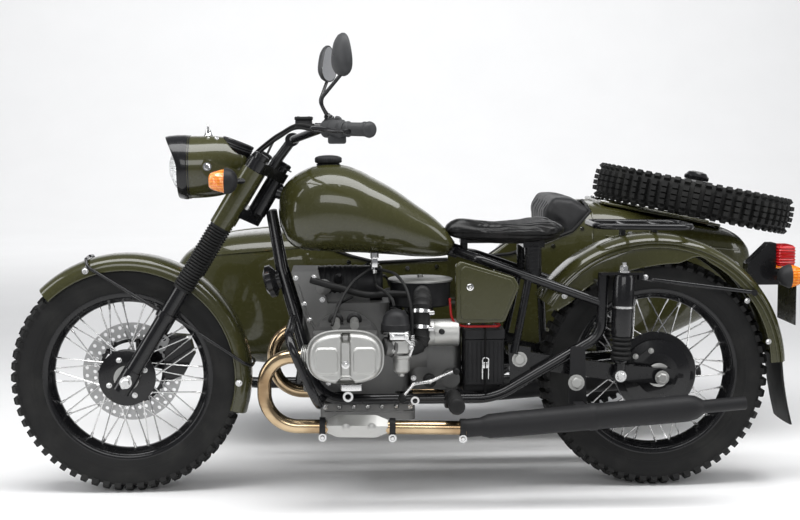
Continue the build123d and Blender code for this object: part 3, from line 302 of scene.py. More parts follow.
# Finishes
class Value:
    """A shader socket that carries a number: Python operators on it add Math nodes."""

    def __init__(self, finish, socket):
        self.finish, self.socket = finish, socket

    def math(self, operation, *numbers):
        return self.finish.node("Math", {"operation": operation}, dict(enumerate(numbers)))

    def __add__(self, other):
        return self.math("ADD", self, other)

    def __sub__(self, other):
        return self.math("SUBTRACT", self, other)

    def __rsub__(self, other):
        return self.math("SUBTRACT", other, self)

    def __mul__(self, other):
        return self.math("MULTIPLY", self, other)

    def __pow__(self, other):
        return self.math("POWER", self, other)

    __radd__, __rmul__ = __add__, __mul__


class Finish:
    """A procedural material for one slot of the record, whose name it keeps."""

    def __init__(self, name, slot, **constants):
        self.slot = slot
        self.material = bpy.data.materials.new(name)
        self.material.use_nodes = True
        self.tree = self.material.node_tree
        self.shader = self.tree.nodes["Principled BSDF"]
        self.place = self.node("TexCoord", output="Object")
        for key, value in constants.items():
            self.shader.inputs[key.replace("_", " ")].default_value = value

    def node(self, kind, settings=(), inputs=(), output=0):
        """Add a node of any kind, first its settings, then the values or links of its sockets."""
        made = self.tree.nodes.new("ShaderNode" + kind)
        for key, value in dict(settings).items():
            setattr(made, key, value)
        for key, value in dict(inputs).items():
            self.feed(made.inputs[key], value)
        return Value(self, made.outputs[output])

    def feed(self, socket, value):
        """Link a value to a socket, or set the socket to a constant."""
        if isinstance(value, Value):
            self.tree.links.new(value.socket, socket)
        else:
            socket.default_value = value

    def noise(self, scale, detail=3, stretch=(1, 1, 1)):
        """Cloudy noise of about scale cells per metre, drawn out along an axis."""
        place = self.node("Mapping", {}, {"Vector": self.place, "Scale": stretch})
        return self.node("TexNoise", {}, {"Vector": place, "Scale": scale, "Detail": detail})

    def cells(self, scale, feature="F1"):
        """Distance to the nearest point of an even scatter: grain, pores and pebbles."""
        return self.node("TexVoronoi", {"feature": feature}, {"Vector": self.place, "Scale": scale})

    def step(self, value, low, high):
        """Soft step from 0 at low to 1 at high."""
        return self.node("MapRange", {"interpolation_type": "SMOOTHSTEP"}, {0: value, 1: low, 2: high})

    def tint(self, factor, low, high):
        """Colour that goes from low to high with a factor."""
        return self.node("Mix", {"data_type": "RGBA"}, {0: factor, 6: (*low, 1), 7: (*high, 1)}, output=2)

    def surface(self, colour=None, roughness=None, height=None, depth=0.0004, strength=0.5, **more):
        """Feed the main shader: colour, roughness, a bump of some depth in metres, and any other socket."""
        sockets = {"Base Color": colour, "Roughness": roughness, **more}
        if height is not None:
            sockets["Normal"] = self.node("Bump", {},
                                          {"Height": height, "Distance": depth, "Strength": strength})
        for key, value in sockets.items():
            if value is not None:
                self.feed(self.shader.inputs[key.replace("_", " ")], value)
        return self


def painted(name, slot, low, high, gloss, coat):
    """Sprayed paint: a colour that wanders a little, fine orange peel, dust in
    the roughness and a clear coat."""
    made = Finish(name, slot, Coat_Weight=coat, Coat_Roughness=0.04, Specular_IOR_Level=0.2)
    drift, peel = made.noise(2.5, 4), made.noise(420, 2)
    dust = made.step(made.noise(60, 6), 0.5, 0.8)
    return made.surface(made.tint(drift, low, high), gloss + 0.10 * dust, peel, 0.00008, 0.25)


def metal(name, slot, low, high, rough, grain, depth, stretch=(1, 1, 1)):
    """Bare metal: shade and roughness follow a grain, drawn out where it is brushed or turned."""
    made = Finish(name, slot, Metallic=1.0)
    fine, stain = made.noise(grain, 5, stretch), made.noise(9, 5)
    shade = made.tint(0.65 * stain + 0.35 * fine, low, high)
    return made.surface(shade, rough + 0.16 * (fine - 0.5) + 0.12 * stain, fine, depth, 0.5)


def moulded(name, slot, low, high, rough, grain, depth):
    """Moulded plastic or rubber: pebbled grain, with a bloom that dulls it in patches."""
    made = Finish(name, slot, Specular_IOR_Level=0.22)
    pebble, bloom = made.cells(grain), made.step(made.noise(14, 6), 0.42, 0.75)
    return made.surface(made.tint(bloom, low, high), rough + 0.12 * bloom, pebble, depth, 0.4)


OLIVE = painted("olive_gloss", "olive_paint", (0.033, 0.033, 0.0095), (0.044, 0.043, 0.014), 0.26, 0.8)
BLACK = painted("black_gloss", "black_paint", (0.004, 0.004, 0.0045), (0.009, 0.009, 0.010), 0.24, 0.4)
HEAT_BLACK = painted("heat_black", "heat_black", (0.010, 0.010, 0.011), (0.018, 0.018, 0.019), 0.50, 0.0)
CAST = metal("sand_cast_alloy", "cast_alloy", (0.08, 0.08, 0.078), (0.26, 0.26, 0.255), 0.50, 700, 0.0005)
SATIN = metal("satin_alloy", "satin_alloy", (0.36, 0.36, 0.35), (0.52, 0.52, 0.50), 0.40, 500, 0.00025)
STEEL = metal("bright_steel", "bare_steel", (0.55, 0.55, 0.55), (0.75, 0.75, 0.74), 0.20, 260, 0.00004)
DISC_STEEL = metal("ground_steel", "bare_steel", (0.34, 0.34, 0.34), (0.5, 0.5, 0.5), 0.34, 900, 0.0001)
PLASTIC = moulded("black_plastic", "black_plastic", (0.012, 0.012, 0.013), (0.022, 0.022, 0.023), 0.42,
                  1500, 0.0002)
GREY_PLASTIC = moulded("grey_plastic", "black_plastic", (0.040, 0.041, 0.043), (0.060, 0.061, 0.063), 0.44,
                       1500, 0.0002)
RUBBER = moulded("soft_rubber", "soft_rubber", (0.009, 0.009, 0.009), (0.016, 0.016, 0.016), 0.50, 900,
                 0.0002)
TYRE = moulded("tyre_rubber", "tyre_rubber", (0.010, 0.010, 0.010), (0.021, 0.021, 0.020), 0.62, 500, 0.0003)
LEATHER = moulded("saddle_leather", "saddle_leather", (0.006, 0.006, 0.006), (0.012, 0.011, 0.011), 0.28,
                  420, 0.0005)
VINYL = moulded("seat_vinyl", "seat_vinyl", (0.022, 0.022, 0.023), (0.032, 0.032, 0.033), 0.42, 800, 0.0004)


def header_finish():
    """Pipe chrome gone golden with heat: straw to bronze by patches and streaks."""
    made = Finish("heat_gold", "header_chrome", Metallic=1.0)
    patch, streak = made.noise(7, 4), made.noise(60, 3, (0.3, 1, 1))
    colour = made.tint(made.step(patch + 0.3 * streak, 0.45, 0.9), (0.56, 0.43, 0.27), (0.27, 0.18, 0.10))
    return made.surface(colour, 0.13 + 0.12 * streak, streak, 0.00003, 0.3)


def lens_finish(name, slot, low, high, clear, ribs):
    """Moulded lamp plastic: light passes part of it, ribs across it break up the gloss."""
    made = Finish(name, slot, Transmission_Weight=clear, IOR=1.49, Roughness=0.10)
    wave = made.node("TexWave", {"bands_direction": "Z"}, {"Vector": made.place, "Scale": ribs})
    return made.surface(made.tint(wave, low, high), None, wave, 0.0012, 0.5)


GOLD = header_finish()
AMBER = lens_finish("amber_plastic", "amber_lens", (0.90, 0.20, 0.004), (1.0, 0.36, 0.015), 0.25, 40)
RED = lens_finish("red_plastic", "red_lens", (0.42, 0.004, 0.006), (0.62, 0.010, 0.014), 0.2, 45)
GLASS = lens_finish("fluted_glass", "clear_lens", (0.93, 0.95, 0.96), (1, 1, 1), 1.0, 30)
MIRROR = metal("silvered_glass", "bare_steel", (0.86, 0.87, 0.88), (0.92, 0.92, 0.93), 0.02, 40, 0.000001)
CHROME = metal("chrome_plate", "bare_steel", (0.70, 0.70, 0.70), (0.82, 0.82, 0.81), 0.06, 60, 0.00001)
RED_WIRE = moulded("red_wire", "red_lens", (0.25, 0.008, 0.008), (0.32, 0.012, 0.012), 0.40, 700, 0.0001)


def dress(finish, *names):
    """Give CAD nodes whose shape is right a finish of their own."""
    for name in names:
        nodes[name].data.materials.clear()
        nodes[name].data.materials.append(finish.material)


dress(BLACK, "fork_yokes", "fork_sliders", "handlebar", "frame", "saddle_mount", "swing_arm", "rear_brake",
      "tail_bracket", "sidecar_frame", "sidecar_suspension", "brake_caliper", "final_drive", "luggage_rack",
      "horn")
dress(CAST, "engine", "gearbox", "cylinders")
dress(OLIVE, "fork_shrouds")


# Wheels
TYRE_LINE = [(231, 24), (237, 33), (254, 44), (284, 53), (304, 52), (313, 44), (317, 30), (318.5, 0)]
KNOBS = [(318.5, 8.7, 2, 13.2), (317.2, 26.5, 6, 13.6), (308, 44, 40, 14.5)]
KNOB_PITCHES = 60
KNOB_HALF = (9.6, 7.4)
RIM_LINE = [(231, 25), (232, 31), (243, 32), (245.5, 34.5), (242, 36.8), (235, 36), (228, 33), (219, 20),
            (213, 11), (211, 5)]
DRUM_LINE = [(-60, 36), (-60, 46), (-57, 100), (-55, 116), (-50, 118), (-43, 118), (-40, 114), (-36, 100),
             (-28, 48), (0, 40), (36, 44), (38, 74), (41, 76), (47, 76), (49, 72), (52, 42), (60, 38)]
FRONT_LINE = [(-56, 20), (-56, 28), (-51, 32), (-51, 76), (-49, 81), (-44, 81), (-41, 74), (-37, 32),
              (0, 28), (36, 32), (38, 60), (41, 64), (53, 64), (56, 60), (56, 32), (62, 28)]
FLANGES = {"front": {-1: (74, 46), 1: (58, 42)}, "drum": {-1: (112, 49), 1: (70, 43)}}
SPOKE_LEAN = np.radians(22)
SPOKES = 40
RIM_BED = 214


def spun(line, sides=120):
    """Closed ring about the Y axis from half a profile of (radius, y), mirrored to the other half."""
    half = np.asarray(line, float)
    return lathe(np.vstack([half, half[::-1] * (1, -1)])[:, ::-1], (0, 0, 0), RIGHT, sides, ring=True)


def knobs():
    """Tread blocks: six rows of tapered blocks that stand square to the
    carcass, in line across the tread."""
    s, w, level = np.array([(s, w, level) for level in (0, 1)
                            for s, w in ((-1, -1), (1, -1), (1, 1), (-1, 1))]).T
    shapes = []
    for radius, y, lean, height in KNOBS:
        for side in SIDES:
            tilt = np.radians(lean) * side
            rise = height * level - 3 * (1 - level)
            across = KNOB_HALF[1] * w * (1.16 - 0.26 * level)
            r = radius + rise * np.cos(tilt) - across * np.sin(tilt)
            depth = side * y + rise * np.sin(tilt) + across * np.cos(tilt)
            turn = ring_angles(KNOB_PITCHES)[:, None] + KNOB_HALF[0] * s * (1.12 - 0.2 * level) / r
            points = np.stack([r * np.cos(turn), np.broadcast_to(depth, turn.shape), r * np.sin(turn)], -1)
            shapes.append(grid(points.reshape(-1, 2, 4, 3), loop_v=True))
    return join(*shapes)


def laced(flanges):
    """Spokes from the hub's flanges to the rim, crossing by their lean, and their nipples."""
    index = np.arange(SPOKES)
    side = np.where(index % 2, 1, -1)
    hub_radius, hub_reach = np.array([flanges[s] for s in side]).T
    turn = 2 * np.pi * index / SPOKES
    outer_turn = turn + np.where(index % 4 < 2, SPOKE_LEAN, -SPOKE_LEAN)
    inner = np.stack([hub_radius * np.cos(turn), side * hub_reach, hub_radius * np.sin(turn)], -1)
    outer = np.stack([RIM_BED * np.cos(outer_turn), side * 7.0, RIM_BED * np.sin(outer_turn)], -1)
    inward = unit(inner - outer)
    return join(rods(inner, outer, 2.0), rods(outer, outer + inward * 17, 3.6, 6))


def wheel(name, body, place, hub, turn=None):
    """One wheel: carcass with blocks, black rim and hub, bright spokes."""
    line = FRONT_LINE if hub == "front" else DRUM_LINE
    bead_ring = [(262, 48.6), (264, 49.4), (268, 50.6), (270, 50.9)]
    carcass = join(spun(curve(TYRE_LINE, 30)), spun(bead_ring), knobs())
    hub_shape = lathe(line, (0, 0, 0), RIGHT, 64)
    caps = ring_angles(4) + 0.4
    reach = 52 if hub == "front" else 58
    studs = bolts(np.stack([55 * np.cos(caps), np.full(4, -reach), 55 * np.sin(caps)], -1), LEFT, 6, 5)
    for part, shape, finish, replaced in (
            ("tyre", carcass, TYRE, [f"{name}_tyre"]),
            ("rim", spun(curve(RIM_LINE, 26)), BLACK, [f"{name}_wheel"]), ("hub", hub_shape, BLACK, []),
            ("spokes", laced(FLANGES[hub]), STEEL, []), ("studs", studs, STEEL, [])):
        piece(f"{name}_wheel_{part}", moved(shape, place, turn), finish, replaced, body=body, sharp=30)


TILT = Matrix.Rotation(DECK_SLOPE, 3, "Y") @ Matrix.Rotation(np.pi / 2, 3, "X")
wheel("front", "front_wheel_assembly", FRONT_AXLE, "front")
wheel("rear", "rear_wheel_assembly", REAR_AXLE, "drum")
wheel("sidecar", "sidecar_wheel_assembly", SIDECAR_AXLE, "drum")
wheel("spare", "lid", SPARE_CENTRE, "drum", TILT)


DISC_ROWS = [(97, 120), (120, 143)]
DISC_SECTORS = 36
DISC_HALF = 2.5
DISC_HOLE = 5.4
DISC_Y = 58.8


def drilled_disc():
    """Brake disc: two rows of sectors, each a square loop about a round hole,
    closed front to back; rows half a step off."""
    turn = ring_angles(32)
    loop = np.stack([np.cos(turn), np.sin(turn)], -1)
    square = loop / abs(loop).max(1, keepdims=True)
    cells = []
    for row, (inner, outer) in enumerate(DISC_ROWS):
        middle, half = (inner + outer) / 2, (outer - inner) / 2
        swing = (ring_angles(DISC_SECTORS) + row * np.pi / DISC_SECTORS)[:, None]
        edge = (middle + half * square[:, 1], swing + np.pi / DISC_SECTORS * square[:, 0])
        hole = (middle + DISC_HOLE * loop[:, 1], swing + DISC_HOLE / middle * loop[:, 0])
        rings = [(*edge, -DISC_HALF), (*hole, -DISC_HALF), (*hole, DISC_HALF), (*edge, DISC_HALF)]
        points = [np.stack(np.broadcast_arrays(r * np.cos(a), y, r * np.sin(a)), -1) for r, a, y in rings]
        cells.append(grid(np.stack(points, 1), loop_u=True, loop_v=True))
    return moved(join(*cells), np.add(FRONT_AXLE, (0, DISC_Y, 0)))


def disc_carrier():
    """Carrier of the disc: six leaning arms, an inner ring and the buttons that float the disc."""
    turn = ring_angles(6)
    arms = [np.stack([r * np.cos(turn + a), np.full(6, DISC_Y), r * np.sin(turn + a)], -1)
            for r, a in ((38, 0), (98, 0.35))]
    buttons = ring_angles(12)
    spots = np.stack([95 * np.cos(buttons), np.full(12, 54.5), 95 * np.sin(buttons)], -1)
    ring = hoop((-2, 2), (86, 96), (0, DISC_Y, 0), RIGHT, 72)
    return moved(join(rods(*arms, 7, 10), ring, rods(spots, spots + (0, 8, 0), 5, 12)), FRONT_AXLE)


def front_hub_cap():
    """Bright bearing cover in the middle of the front hub."""
    return lathe([(0, 14), (0, 33), (3, 36), (6, 36), (6, 14)], np.add(FRONT_AXLE, (0, -56, 0)), LEFT, 40)


piece("brake_disc_drilled", drilled_disc(), DISC_STEEL, ["brake_disc"], body="front_wheel_assembly")
piece("brake_disc_carrier", disc_carrier(), BLACK, body="front_wheel_assembly")
piece("front_hub_cap", front_hub_cap(), SATIN, body="front_wheel_assembly")


# Fork, lamp and handlebar
def leg_point(reach, y=0.0):
    """Places on a fork leg at distances from its foot."""
    reach = np.asarray(reach, float)
    return np.stack([LEG_FOOT_X + np.sin(RAKE) * reach, np.full_like(reach, y),
                     TYRE_RADIUS + np.cos(RAKE) * reach], -1)


LEG_UP = leg_point(1.0) - leg_point(0.0)
LAMP_Z = 926
SHELL_SECTIONS = [(181, 88.5, 88.5, 926), (214, 87, 88, 926.5), (252, 81, 86, 928), (290, 66, 79, 930),
                  (322, 47, 58, 934), (340, 34, 38, 939), (345, 20, 22, 940)]


def gaiter():
    """Rubber boot: a round rib on every pitch, from the slider's top to the shroud."""
    reach = np.linspace(300.5, 508, 24 * 7 + 1)
    rib = abs(np.sin(np.pi * 24 * (reach - reach[0]) / (reach[-1] - reach[0])))
    radius = 24.2 + 5.2 * rib ** 0.7
    collars = np.minimum(reach - reach[0], reach[-1] - reach) < 7
    profile = np.stack([reach - reach[0], np.where(collars, 27.5, radius)], -1)
    return lathe(np.vstack([[(0, 20)], profile, [(207.5, 20)]]), leg_point(300.5, -LEG_Y), LEG_UP, 36)


def slider_trim():
    """Axle nut and pinch bolts of one fork slider."""
    foot = leg_point(0, -LEG_Y)
    clamp = bolts([foot + (0, -30, 0)], LEFT, 13, 10)
    pinch = bolts([leg_point(-14, -LEG_Y - 29), leg_point(16, -LEG_Y - 29)], LEFT, 5, 5)
    return join(clamp, pinch)


def lamp_shell():
    """Lamp bucket: ellipses along X whose half sizes and height follow the section table."""
    table = np.asarray(SHELL_SECTIONS, float)
    x = np.linspace(table[0, 0], table[-1, 0], 40)
    half_width, half_height, middle = smooth(x, table[:, 0], table[:, 1:]).T[..., None]
    turn = ring_angles(72)[None]
    points = np.stack(np.broadcast_arrays(x[:, None], half_width * np.cos(turn),
                                          middle + half_height * np.sin(turn)), -1)
    return grid(points, loop_v=True)


def lamp_rim():
    """Rim with its peak: a ring whose front edge runs forward towards the top,
    by a raised cosine of the angle."""
    turn = ring_angles(120)
    top = np.clip(np.cos(turn - np.pi / 2), 0, 1) ** 1.4
    front = 153 - 37 * top
    line = np.array([(1, 76), (0.0, 79), (0, 86.5), (0.15, 89), (0.5, 91), (0.85, 91.4), (1, 90), (1, 84)])
    reach = front[None] + (181.2 - front[None]) * line[:, :1]
    radius = np.where((line[:, :1] < 0.5) & (line[:, 1:] < 85), line[:, 1:] + 7.5 * top[None], line[:, 1:])
    radius = np.broadcast_to(radius, reach.shape)
    points = np.stack([reach, radius * np.cos(turn), LAMP_Z + radius * np.sin(turn)], -1)
    return grid(points, loop_u=True, loop_v=True)


def lamp_lens():
    """Domed glass: part of a ball of the lens's own bulge."""
    rise = np.linspace(0, 1, 16)
    profile = np.stack([34 * (1 - rise ** 2) - 34, 75.4 * rise], -1)
    front = np.vstack([profile * (-1, 1) + (-34, 0), [(6, 75.4), (6, 0.3)]])
    return lathe(front[::-1], (158, 0, LAMP_Z), BACK, 64)


def lamp_bowl():
    """Reflector behind the glass: a parabola of revolution with the bulb's cap at its foot."""
    rise = np.linspace(0.08, 1, 14)
    return lathe(np.vstack([np.stack([40 - 36 * rise ** 2, 74 * rise], -1), [(4, 70)]]), (161, 0, LAMP_Z),
                 BACK, 48)


def dial():
    """Speed dial housing: ribbed ring on a short cup, tilted to the rider."""
    return lathe([(-58, 36), (-16, 44), (-14, 46), (-10, 44.5), (-7, 46), (-3, 44.5), (0, 46), (5, 46),
                  (6, 43), (4, 41), (3, 38)], (320, 0, 992), (0.36, 0, 0.93), 60)


def lamp_switches():
    """Key barrel and two warning lamps on top of the bucket."""
    key = join(lathe([(-14, 13), (4, 13), (6, 11), (16, 8), (20, 7)], (236, 0, 1012), UP, 20),
               brick((233, 239), (-9, 9), (1030, 1046), 2))
    beads = lathe([(-12, 9), (3, 9), (4, 7), (8, 5), (9, 1)], (262, 26, 1004), (0.15, 0.25, 1), 18)
    return join(key, both(beads))


def signal(side, lens):
    """Front turn signal: a ribbed amber cone ahead of a black cup."""
    centre = np.array((298, side * 174, 893))
    if lens:
        step = np.linspace(-46, -3, 36)
        radius = 15 + 18 * np.sqrt(np.clip((step + 46) / 43, 0, 1)) + 0.8 * np.sin(step * 1.6)
        return lathe(np.stack([step, radius], -1), centre, BACK, 40)
    return lathe([(-4, 34), (-4, 36), (2, 36), (14, 33), (24, 25), (30, 14), (30, 4)], centre, BACK, 40)


BAR_BEND, GRIP_END = np.array((604, 330, 1034.0)), np.array((690, 412, 1032.0))


def grip():
    """Ribbed hand grip: ridges round it, a collar inboard and a bulged end."""
    reach = np.linspace(30, 120, 120)
    ridge = 0.9 * (np.sin(reach * 1.4) > 0) * (reach > 48) * (reach < 100)
    swell = 17 + ridge + 4 * np.exp(-((reach - 37) / 5) ** 2) + 4.5 * np.exp(-((reach - 112) / 9) ** 2)
    profile = np.vstack([[(29, 12)], np.stack([reach, swell], -1), [(124, 15), (126, 8), (126.5, 1)]])
    return lathe(profile, BAR_BEND, GRIP_END - BAR_BEND, 32)


def switch_block():
    """Switch housing on the bar: two half shells with a parting groove, buttons and screws."""
    along = unit(GRIP_END - BAR_BEND)
    shell = lathe([(-46, 14), (-46, 20), (-42, 24), (-16, 25), (-15, 24), (-14, 25), (14, 25), (19, 20),
                   (30, 19), (30, 12)],
                  BAR_BEND, along, 32)
    knob = lathe([(0, 9), (10, 9), (12, 7), (14, 1)], BAR_BEND - along * 2 + (0, 0, 20), (0.4, 0.2, 1), 18)
    slide = brick((574, 596), (304, 320), (1050, 1064), 3)
    box = brick((578, 626), (308, 344), (995, 1018), 6)
    return join(shell, knob, slide, box)


def lever():
    """Hand lever: a flattened blade from the perch to a ball end, swept ahead of the grip."""
    path = curve([(548, 292, 1036), (538, 312, 1036), (552, 338, 1035), (590, 386, 1030), (622, 414, 1028),
                  (632, 424, 1027)], 40)
    along = np.linspace(0, 1, 40)
    width = 6 + 2.5 * np.sin(np.pi * along) + 3.5 * np.exp(-((along - 1) / 0.05) ** 2)
    perch = lathe([(0, 13), (28, 14), (30, 9)], (572, 300, 1035), (-0.97, -0.22, 0.04), 24)
    return join(carry(path, width, 16, 0.75), perch)


def fluid_box():
    """Brake fluid box on the right bar: rounded box, lid and two screws."""
    body = brick((472, 524), (279, 325), (1030, 1059), 4)
    lid = brick((470, 526), (277, 327), (1058, 1069), 3)
    return join(body, lid, bolts([(482, 288, 1068), (514, 316, 1068)], UP, 3.5, 2))


def mirror_face(rows):
    """Rings of a mirror from (depth, size) rows: a leaf outline, pointed above, widest below its middle."""
    turn = ring_angles(72)
    leaf = 1 - 0.30 * np.sin(turn) - 0.10 * np.cos(2 * turn)
    rows = np.asarray(rows, float)
    return np.stack(np.broadcast_arrays(rows[:, :1], rows[:, 1:] * 54 * np.cos(turn) * leaf,
                                        rows[:, 1:] * 56 * np.sin(turn)), -1)


def mirror_place(shape, side, head):
    """A mirror's shape turned a little inward, at the end of its stem."""
    swing = side * np.radians(-24)
    turn = np.array([(np.cos(swing), -np.sin(swing), 0), (np.sin(swing), np.cos(swing), 0), UP])
    return moved(shape, np.array(head) * (1, side, 1), turn)


def mirror_head(side, head):
    """Mirror back: the leaf swells to a shallow bowl and rolls in round the glass."""
    bowl = [(-17, 0.05), (-16.5, 0.3), (-14, 0.52), (-9, 0.76), (-2, 0.93), (5, 1.0), (10, 1.0), (12, 0.97),
            (10.5, 0.94)]
    return mirror_place(grid(mirror_face(bowl), loop_v=True), side, head)


def mirror_glass(side, head):
    """Silvered glass set in the mirror's rim."""
    return mirror_place(grid(mirror_face([(10, 0.93), (11.2, 0.92), (11.4, 0.05)]), loop_v=True), side, head)


MIRRORS = [(-1, (556, 300, 1108), (612, 352, 1226)), (1, (546, 300, 1112), (566, 352, 1230))]


def mirror_stem(side, knee, head):
    """Kinked stem from the perch to the mirror, with its lock nut and ball."""
    knee, head = np.array(knee) * (1, side, 1), np.array(head) * (1, side, 1)
    foot = np.array((580, side * 307, 1061.0))
    path = bent([foot, knee, head - (-6, 0, 46), head], [26, 18], 8)
    nut = bolts([foot], knee - foot, 10, 12)
    ball = lathe([(-9, 1), (-7, 6), (0, 9), (7, 6), (9, 1)], head - (10, 0, 0), UP, 18)
    return join(carry(path, 5, 12), nut, ball)


def front_stays():
    """Bright bolts where the front fender's stays meet the fender."""
    return both(bolts([(-106, -78, 640), (318, -78, 318)], LEFT, 7, 6))


def cables():
    """Clutch, throttle and brake cables that follow the bar down to the lamp bucket."""
    routes = [[(552, -288, 1038), (505, -250, 1046), (446, -150, 1022), (388, -70, 982), (346, -34, 944)],
              [(548, -292, 1028), (500, -240, 1036), (440, -140, 1008), (384, -60, 968), (348, -20, 940)],
              [(552, 288, 1040), (500, 250, 1048), (440, 140, 1018), (384, 60, 974), (348, 34, 944)],
              [(506, 300, 1034), (470, 240, 1036), (424, 150, 1010), (392, 100, 950), (372, 88, 900)]]
    return join(*[carry(curve(route, 40), 3.6, 10) for route in routes])


def yoke_trim():
    """Top yoke: the two leg caps and the steering stem's nut."""
    caps = both(lathe([(0, 22), (7, 22), (10, 18), (11, 2)], leg_point(730, -LEG_Y), LEG_UP, 24))
    stem = leg_point(734) + 66 * np.array((np.cos(RAKE), 0, -np.sin(RAKE)))
    return join(caps, bolts([stem], LEG_UP, 19, 14))


piece("fork_gaiters_ribbed", both(gaiter()), RUBBER, ["fork_gaiters"], body="fork", sharp=60)
piece("fork_slider_trim", both(slider_trim()), STEEL, body="fork")
piece("lamp_bucket", lamp_shell(), OLIVE, ["headlamp_shell"], body="fork")
piece("lamp_peak_rim", lamp_rim(), BLACK, ["headlamp_rim"], body="fork", sharp=40)
piece("lamp_glass", lamp_lens(), GLASS, ["headlamp_lens"], body="fork")
piece("lamp_reflector", lamp_bowl(), CHROME, body="fork")
piece("lamp_dial", dial(), PLASTIC, body="fork")
piece("lamp_key_and_warners", lamp_switches(), CHROME, body="fork")
piece("lamp_ear_screws", both(bolts([(240, -95, 930)], LEFT, 9, 7)), CHROME, body="fork")
piece("lamp_seam", lathe([(-1.5, 90.2), (1.5, 90.2), (1.5, 88), (-1.5, 88)], (185, 0, LAMP_Z), BACK, 72,
                         ring=True), BLACK, body="fork")
piece("signal_lenses", join(signal(-1, True), signal(1, True)), AMBER, ["front_indicators"], body="fork",
      sharp=70)
piece("signal_cups", join(signal(-1, False), signal(1, False)), PLASTIC, body="fork")
piece("signal_stalks", both(rods([(312, -154, 891)], [(342, -125, 891)], 8, 16)), BLACK, body="fork")
piece("hand_grips", both(grip()), GREY_PLASTIC, ["hand_controls"], body="fork", sharp=60)
piece("hand_switches", both(switch_block()), GREY_PLASTIC, body="fork")
piece("hand_levers", both(lever()), BLACK, body="fork")
piece("fluid_box", fluid_box(), PLASTIC, body="fork")
piece("mirror_backs", join(*[mirror_head(side, head) for side, _, head in MIRRORS]), GREY_PLASTIC,
      ["mirrors"], body="fork")
piece("mirror_glasses", join(*[mirror_glass(side, head) for side, _, head in MIRRORS]), MIRROR, body="fork")
piece("mirror_stems", join(*[mirror_stem(*row) for row in MIRRORS]), BLACK, body="fork")
piece("fender_stay_bolts", front_stays(), STEEL, body="fork")
piece("control_cables", cables(), RUBBER, body="fork")
piece("yoke_caps", yoke_trim(), BLACK, body="fork")


# Engine and exhaust
COVER_HALF = (103, 72)
COVER_STEPS = [(1.0, 0.3), (1.0, 8), (0.965, 9), (0.955, 28), (0.94, 36), (0.91, 42), (0.87, 46.5),
               (0.82, 49)]
COVER_CENTRE = np.array((ENGINE_X, 430.0))


def cover_outline(count):
    """Barrel outline of the rocker cover about its centre: a superellipse."""
    turn = ring_angles(count)
    return np.stack([COVER_HALF[0] * bulge(np.cos(turn), 0.7),
                     COVER_HALF[1] * bulge(np.sin(turn), 0.76)], -1)


def ramp(value, width):
    """Rises from 0 to 1 over a width, flat on both sides."""
    return np.clip(value / width, 0, 1)


def valve_cover():
    """Left rocker cover: the outline drawn in by steps; two pads stand up, a
    channel, a notch and a half moon sink."""
    steps = np.vstack([COVER_STEPS, np.stack([np.linspace(0.80, 0.01, 70), np.full(70, 50.0)], -1)])
    local = steps[:, :1, None] * cover_outline(220)
    dx, dz = local[..., 0], local[..., 1]
    pad = ((abs(abs(dx) - 50) / 31) ** 6 + abs((dz + 5) / 37) ** 6) ** (1 / 6)
    raised = 5 * ramp(1 - pad, 0.14)
    channel = 7 * ramp(15 - abs(dx), 5) * ramp(50 - abs(dz), 6)
    notch = 26 * ramp(12 - abs(dx), 4) * ramp(dz - 38, 8)
    moon = 18 * ramp(27 - np.hypot(dx, dz + 74), 4)
    depth = steps[:, 1:] + np.where(steps[:, 1:] > 40,
                                    raised - np.maximum(channel, np.maximum(notch, moon)), 0)
    return grid(np.stack([COVER_CENTRE[0] + dx, -HEAD_FACE_Y - depth, COVER_CENTRE[1] + dz], -1),
                loop_v=True)


def cover_trim():
    """Cover's centre bolt with its washer, and the crash bar's eye on a lug under the head."""
    face = -HEAD_FACE_Y - 43
    washer = lathe([(0, 5), (0, 11), (3, 11), (4, 5)], (ENGINE_X, face + 1, 414), LEFT, 24)
    lug = brick((606, 664), (-300, -262), (332, 352), 3)
    eye = hoop((-7, 7), (8, 14), (626, -286, 316), RIGHT, 28)
    low_eye = hoop((-6, 6), (7, 12), (812, -172, 281), RIGHT, 28)
    return join(washer, bolts([(ENGINE_X, face, 414)], LEFT, 6, 7), lug, eye, low_eye)


def push_tubes():
    """Pushrod tubes' rubber collars: ridged rings on each tube's line, at the crankcase."""
    collars = [lathe([(0, 12), (0, 20), (5, 21), (9, 17), (14, 20), (18, 15), (18, 12)], (x, -150, 506),
                     (0, -1, -0.03), 28)
               for x in (594, 645)]
    return join(*collars)


CASE_BOLTS = [(482, -98, 618), (533, -98, 620), (556, -98, 556), (566, -98, 470), (572, -98, 392),
              (571, -98, 318), (520, -98, 500), (505, -98, 545), (548, -98, 348)]


def case_details():
    """Front cover: a rib along its edge, a round timing cap and its screws; sump plate screws below."""
    rib = carry(curve([(488, -97, 600), (512, -97, 520), (556, -97, 420), (566, -97, 320)], 30), 4, 10)
    cap = lathe([(0, 40), (5, 40), (8, 36), (10, 30), (10, 8), (13, 6)], (628, -94, 338), LEFT, 40)
    stub = lathe([(0, 22), (8, 22), (11, 17), (13, 4)], (560, -94, 592), LEFT, 28)
    feet = np.array([(560 + 32 * k, -107, 238) for k in range(8)])
    fins = rods(feet, feet + (26, 0, 0), 3.2, 8)
    return join(rib, cap, stub, fins)


def case_screws():
    """Screws of the front cover, the gearbox edge and the sump."""
    sump = [(562 + 40 * k, -107, 252) for k in range(7)]
    box = [(812, -92, 330), (812, -92, 440), (934, -92, 320), (934, -92, 452), (872, -92, 462)]
    return bolts(CASE_BOLTS + sump + box, LEFT, 5.5, 5)


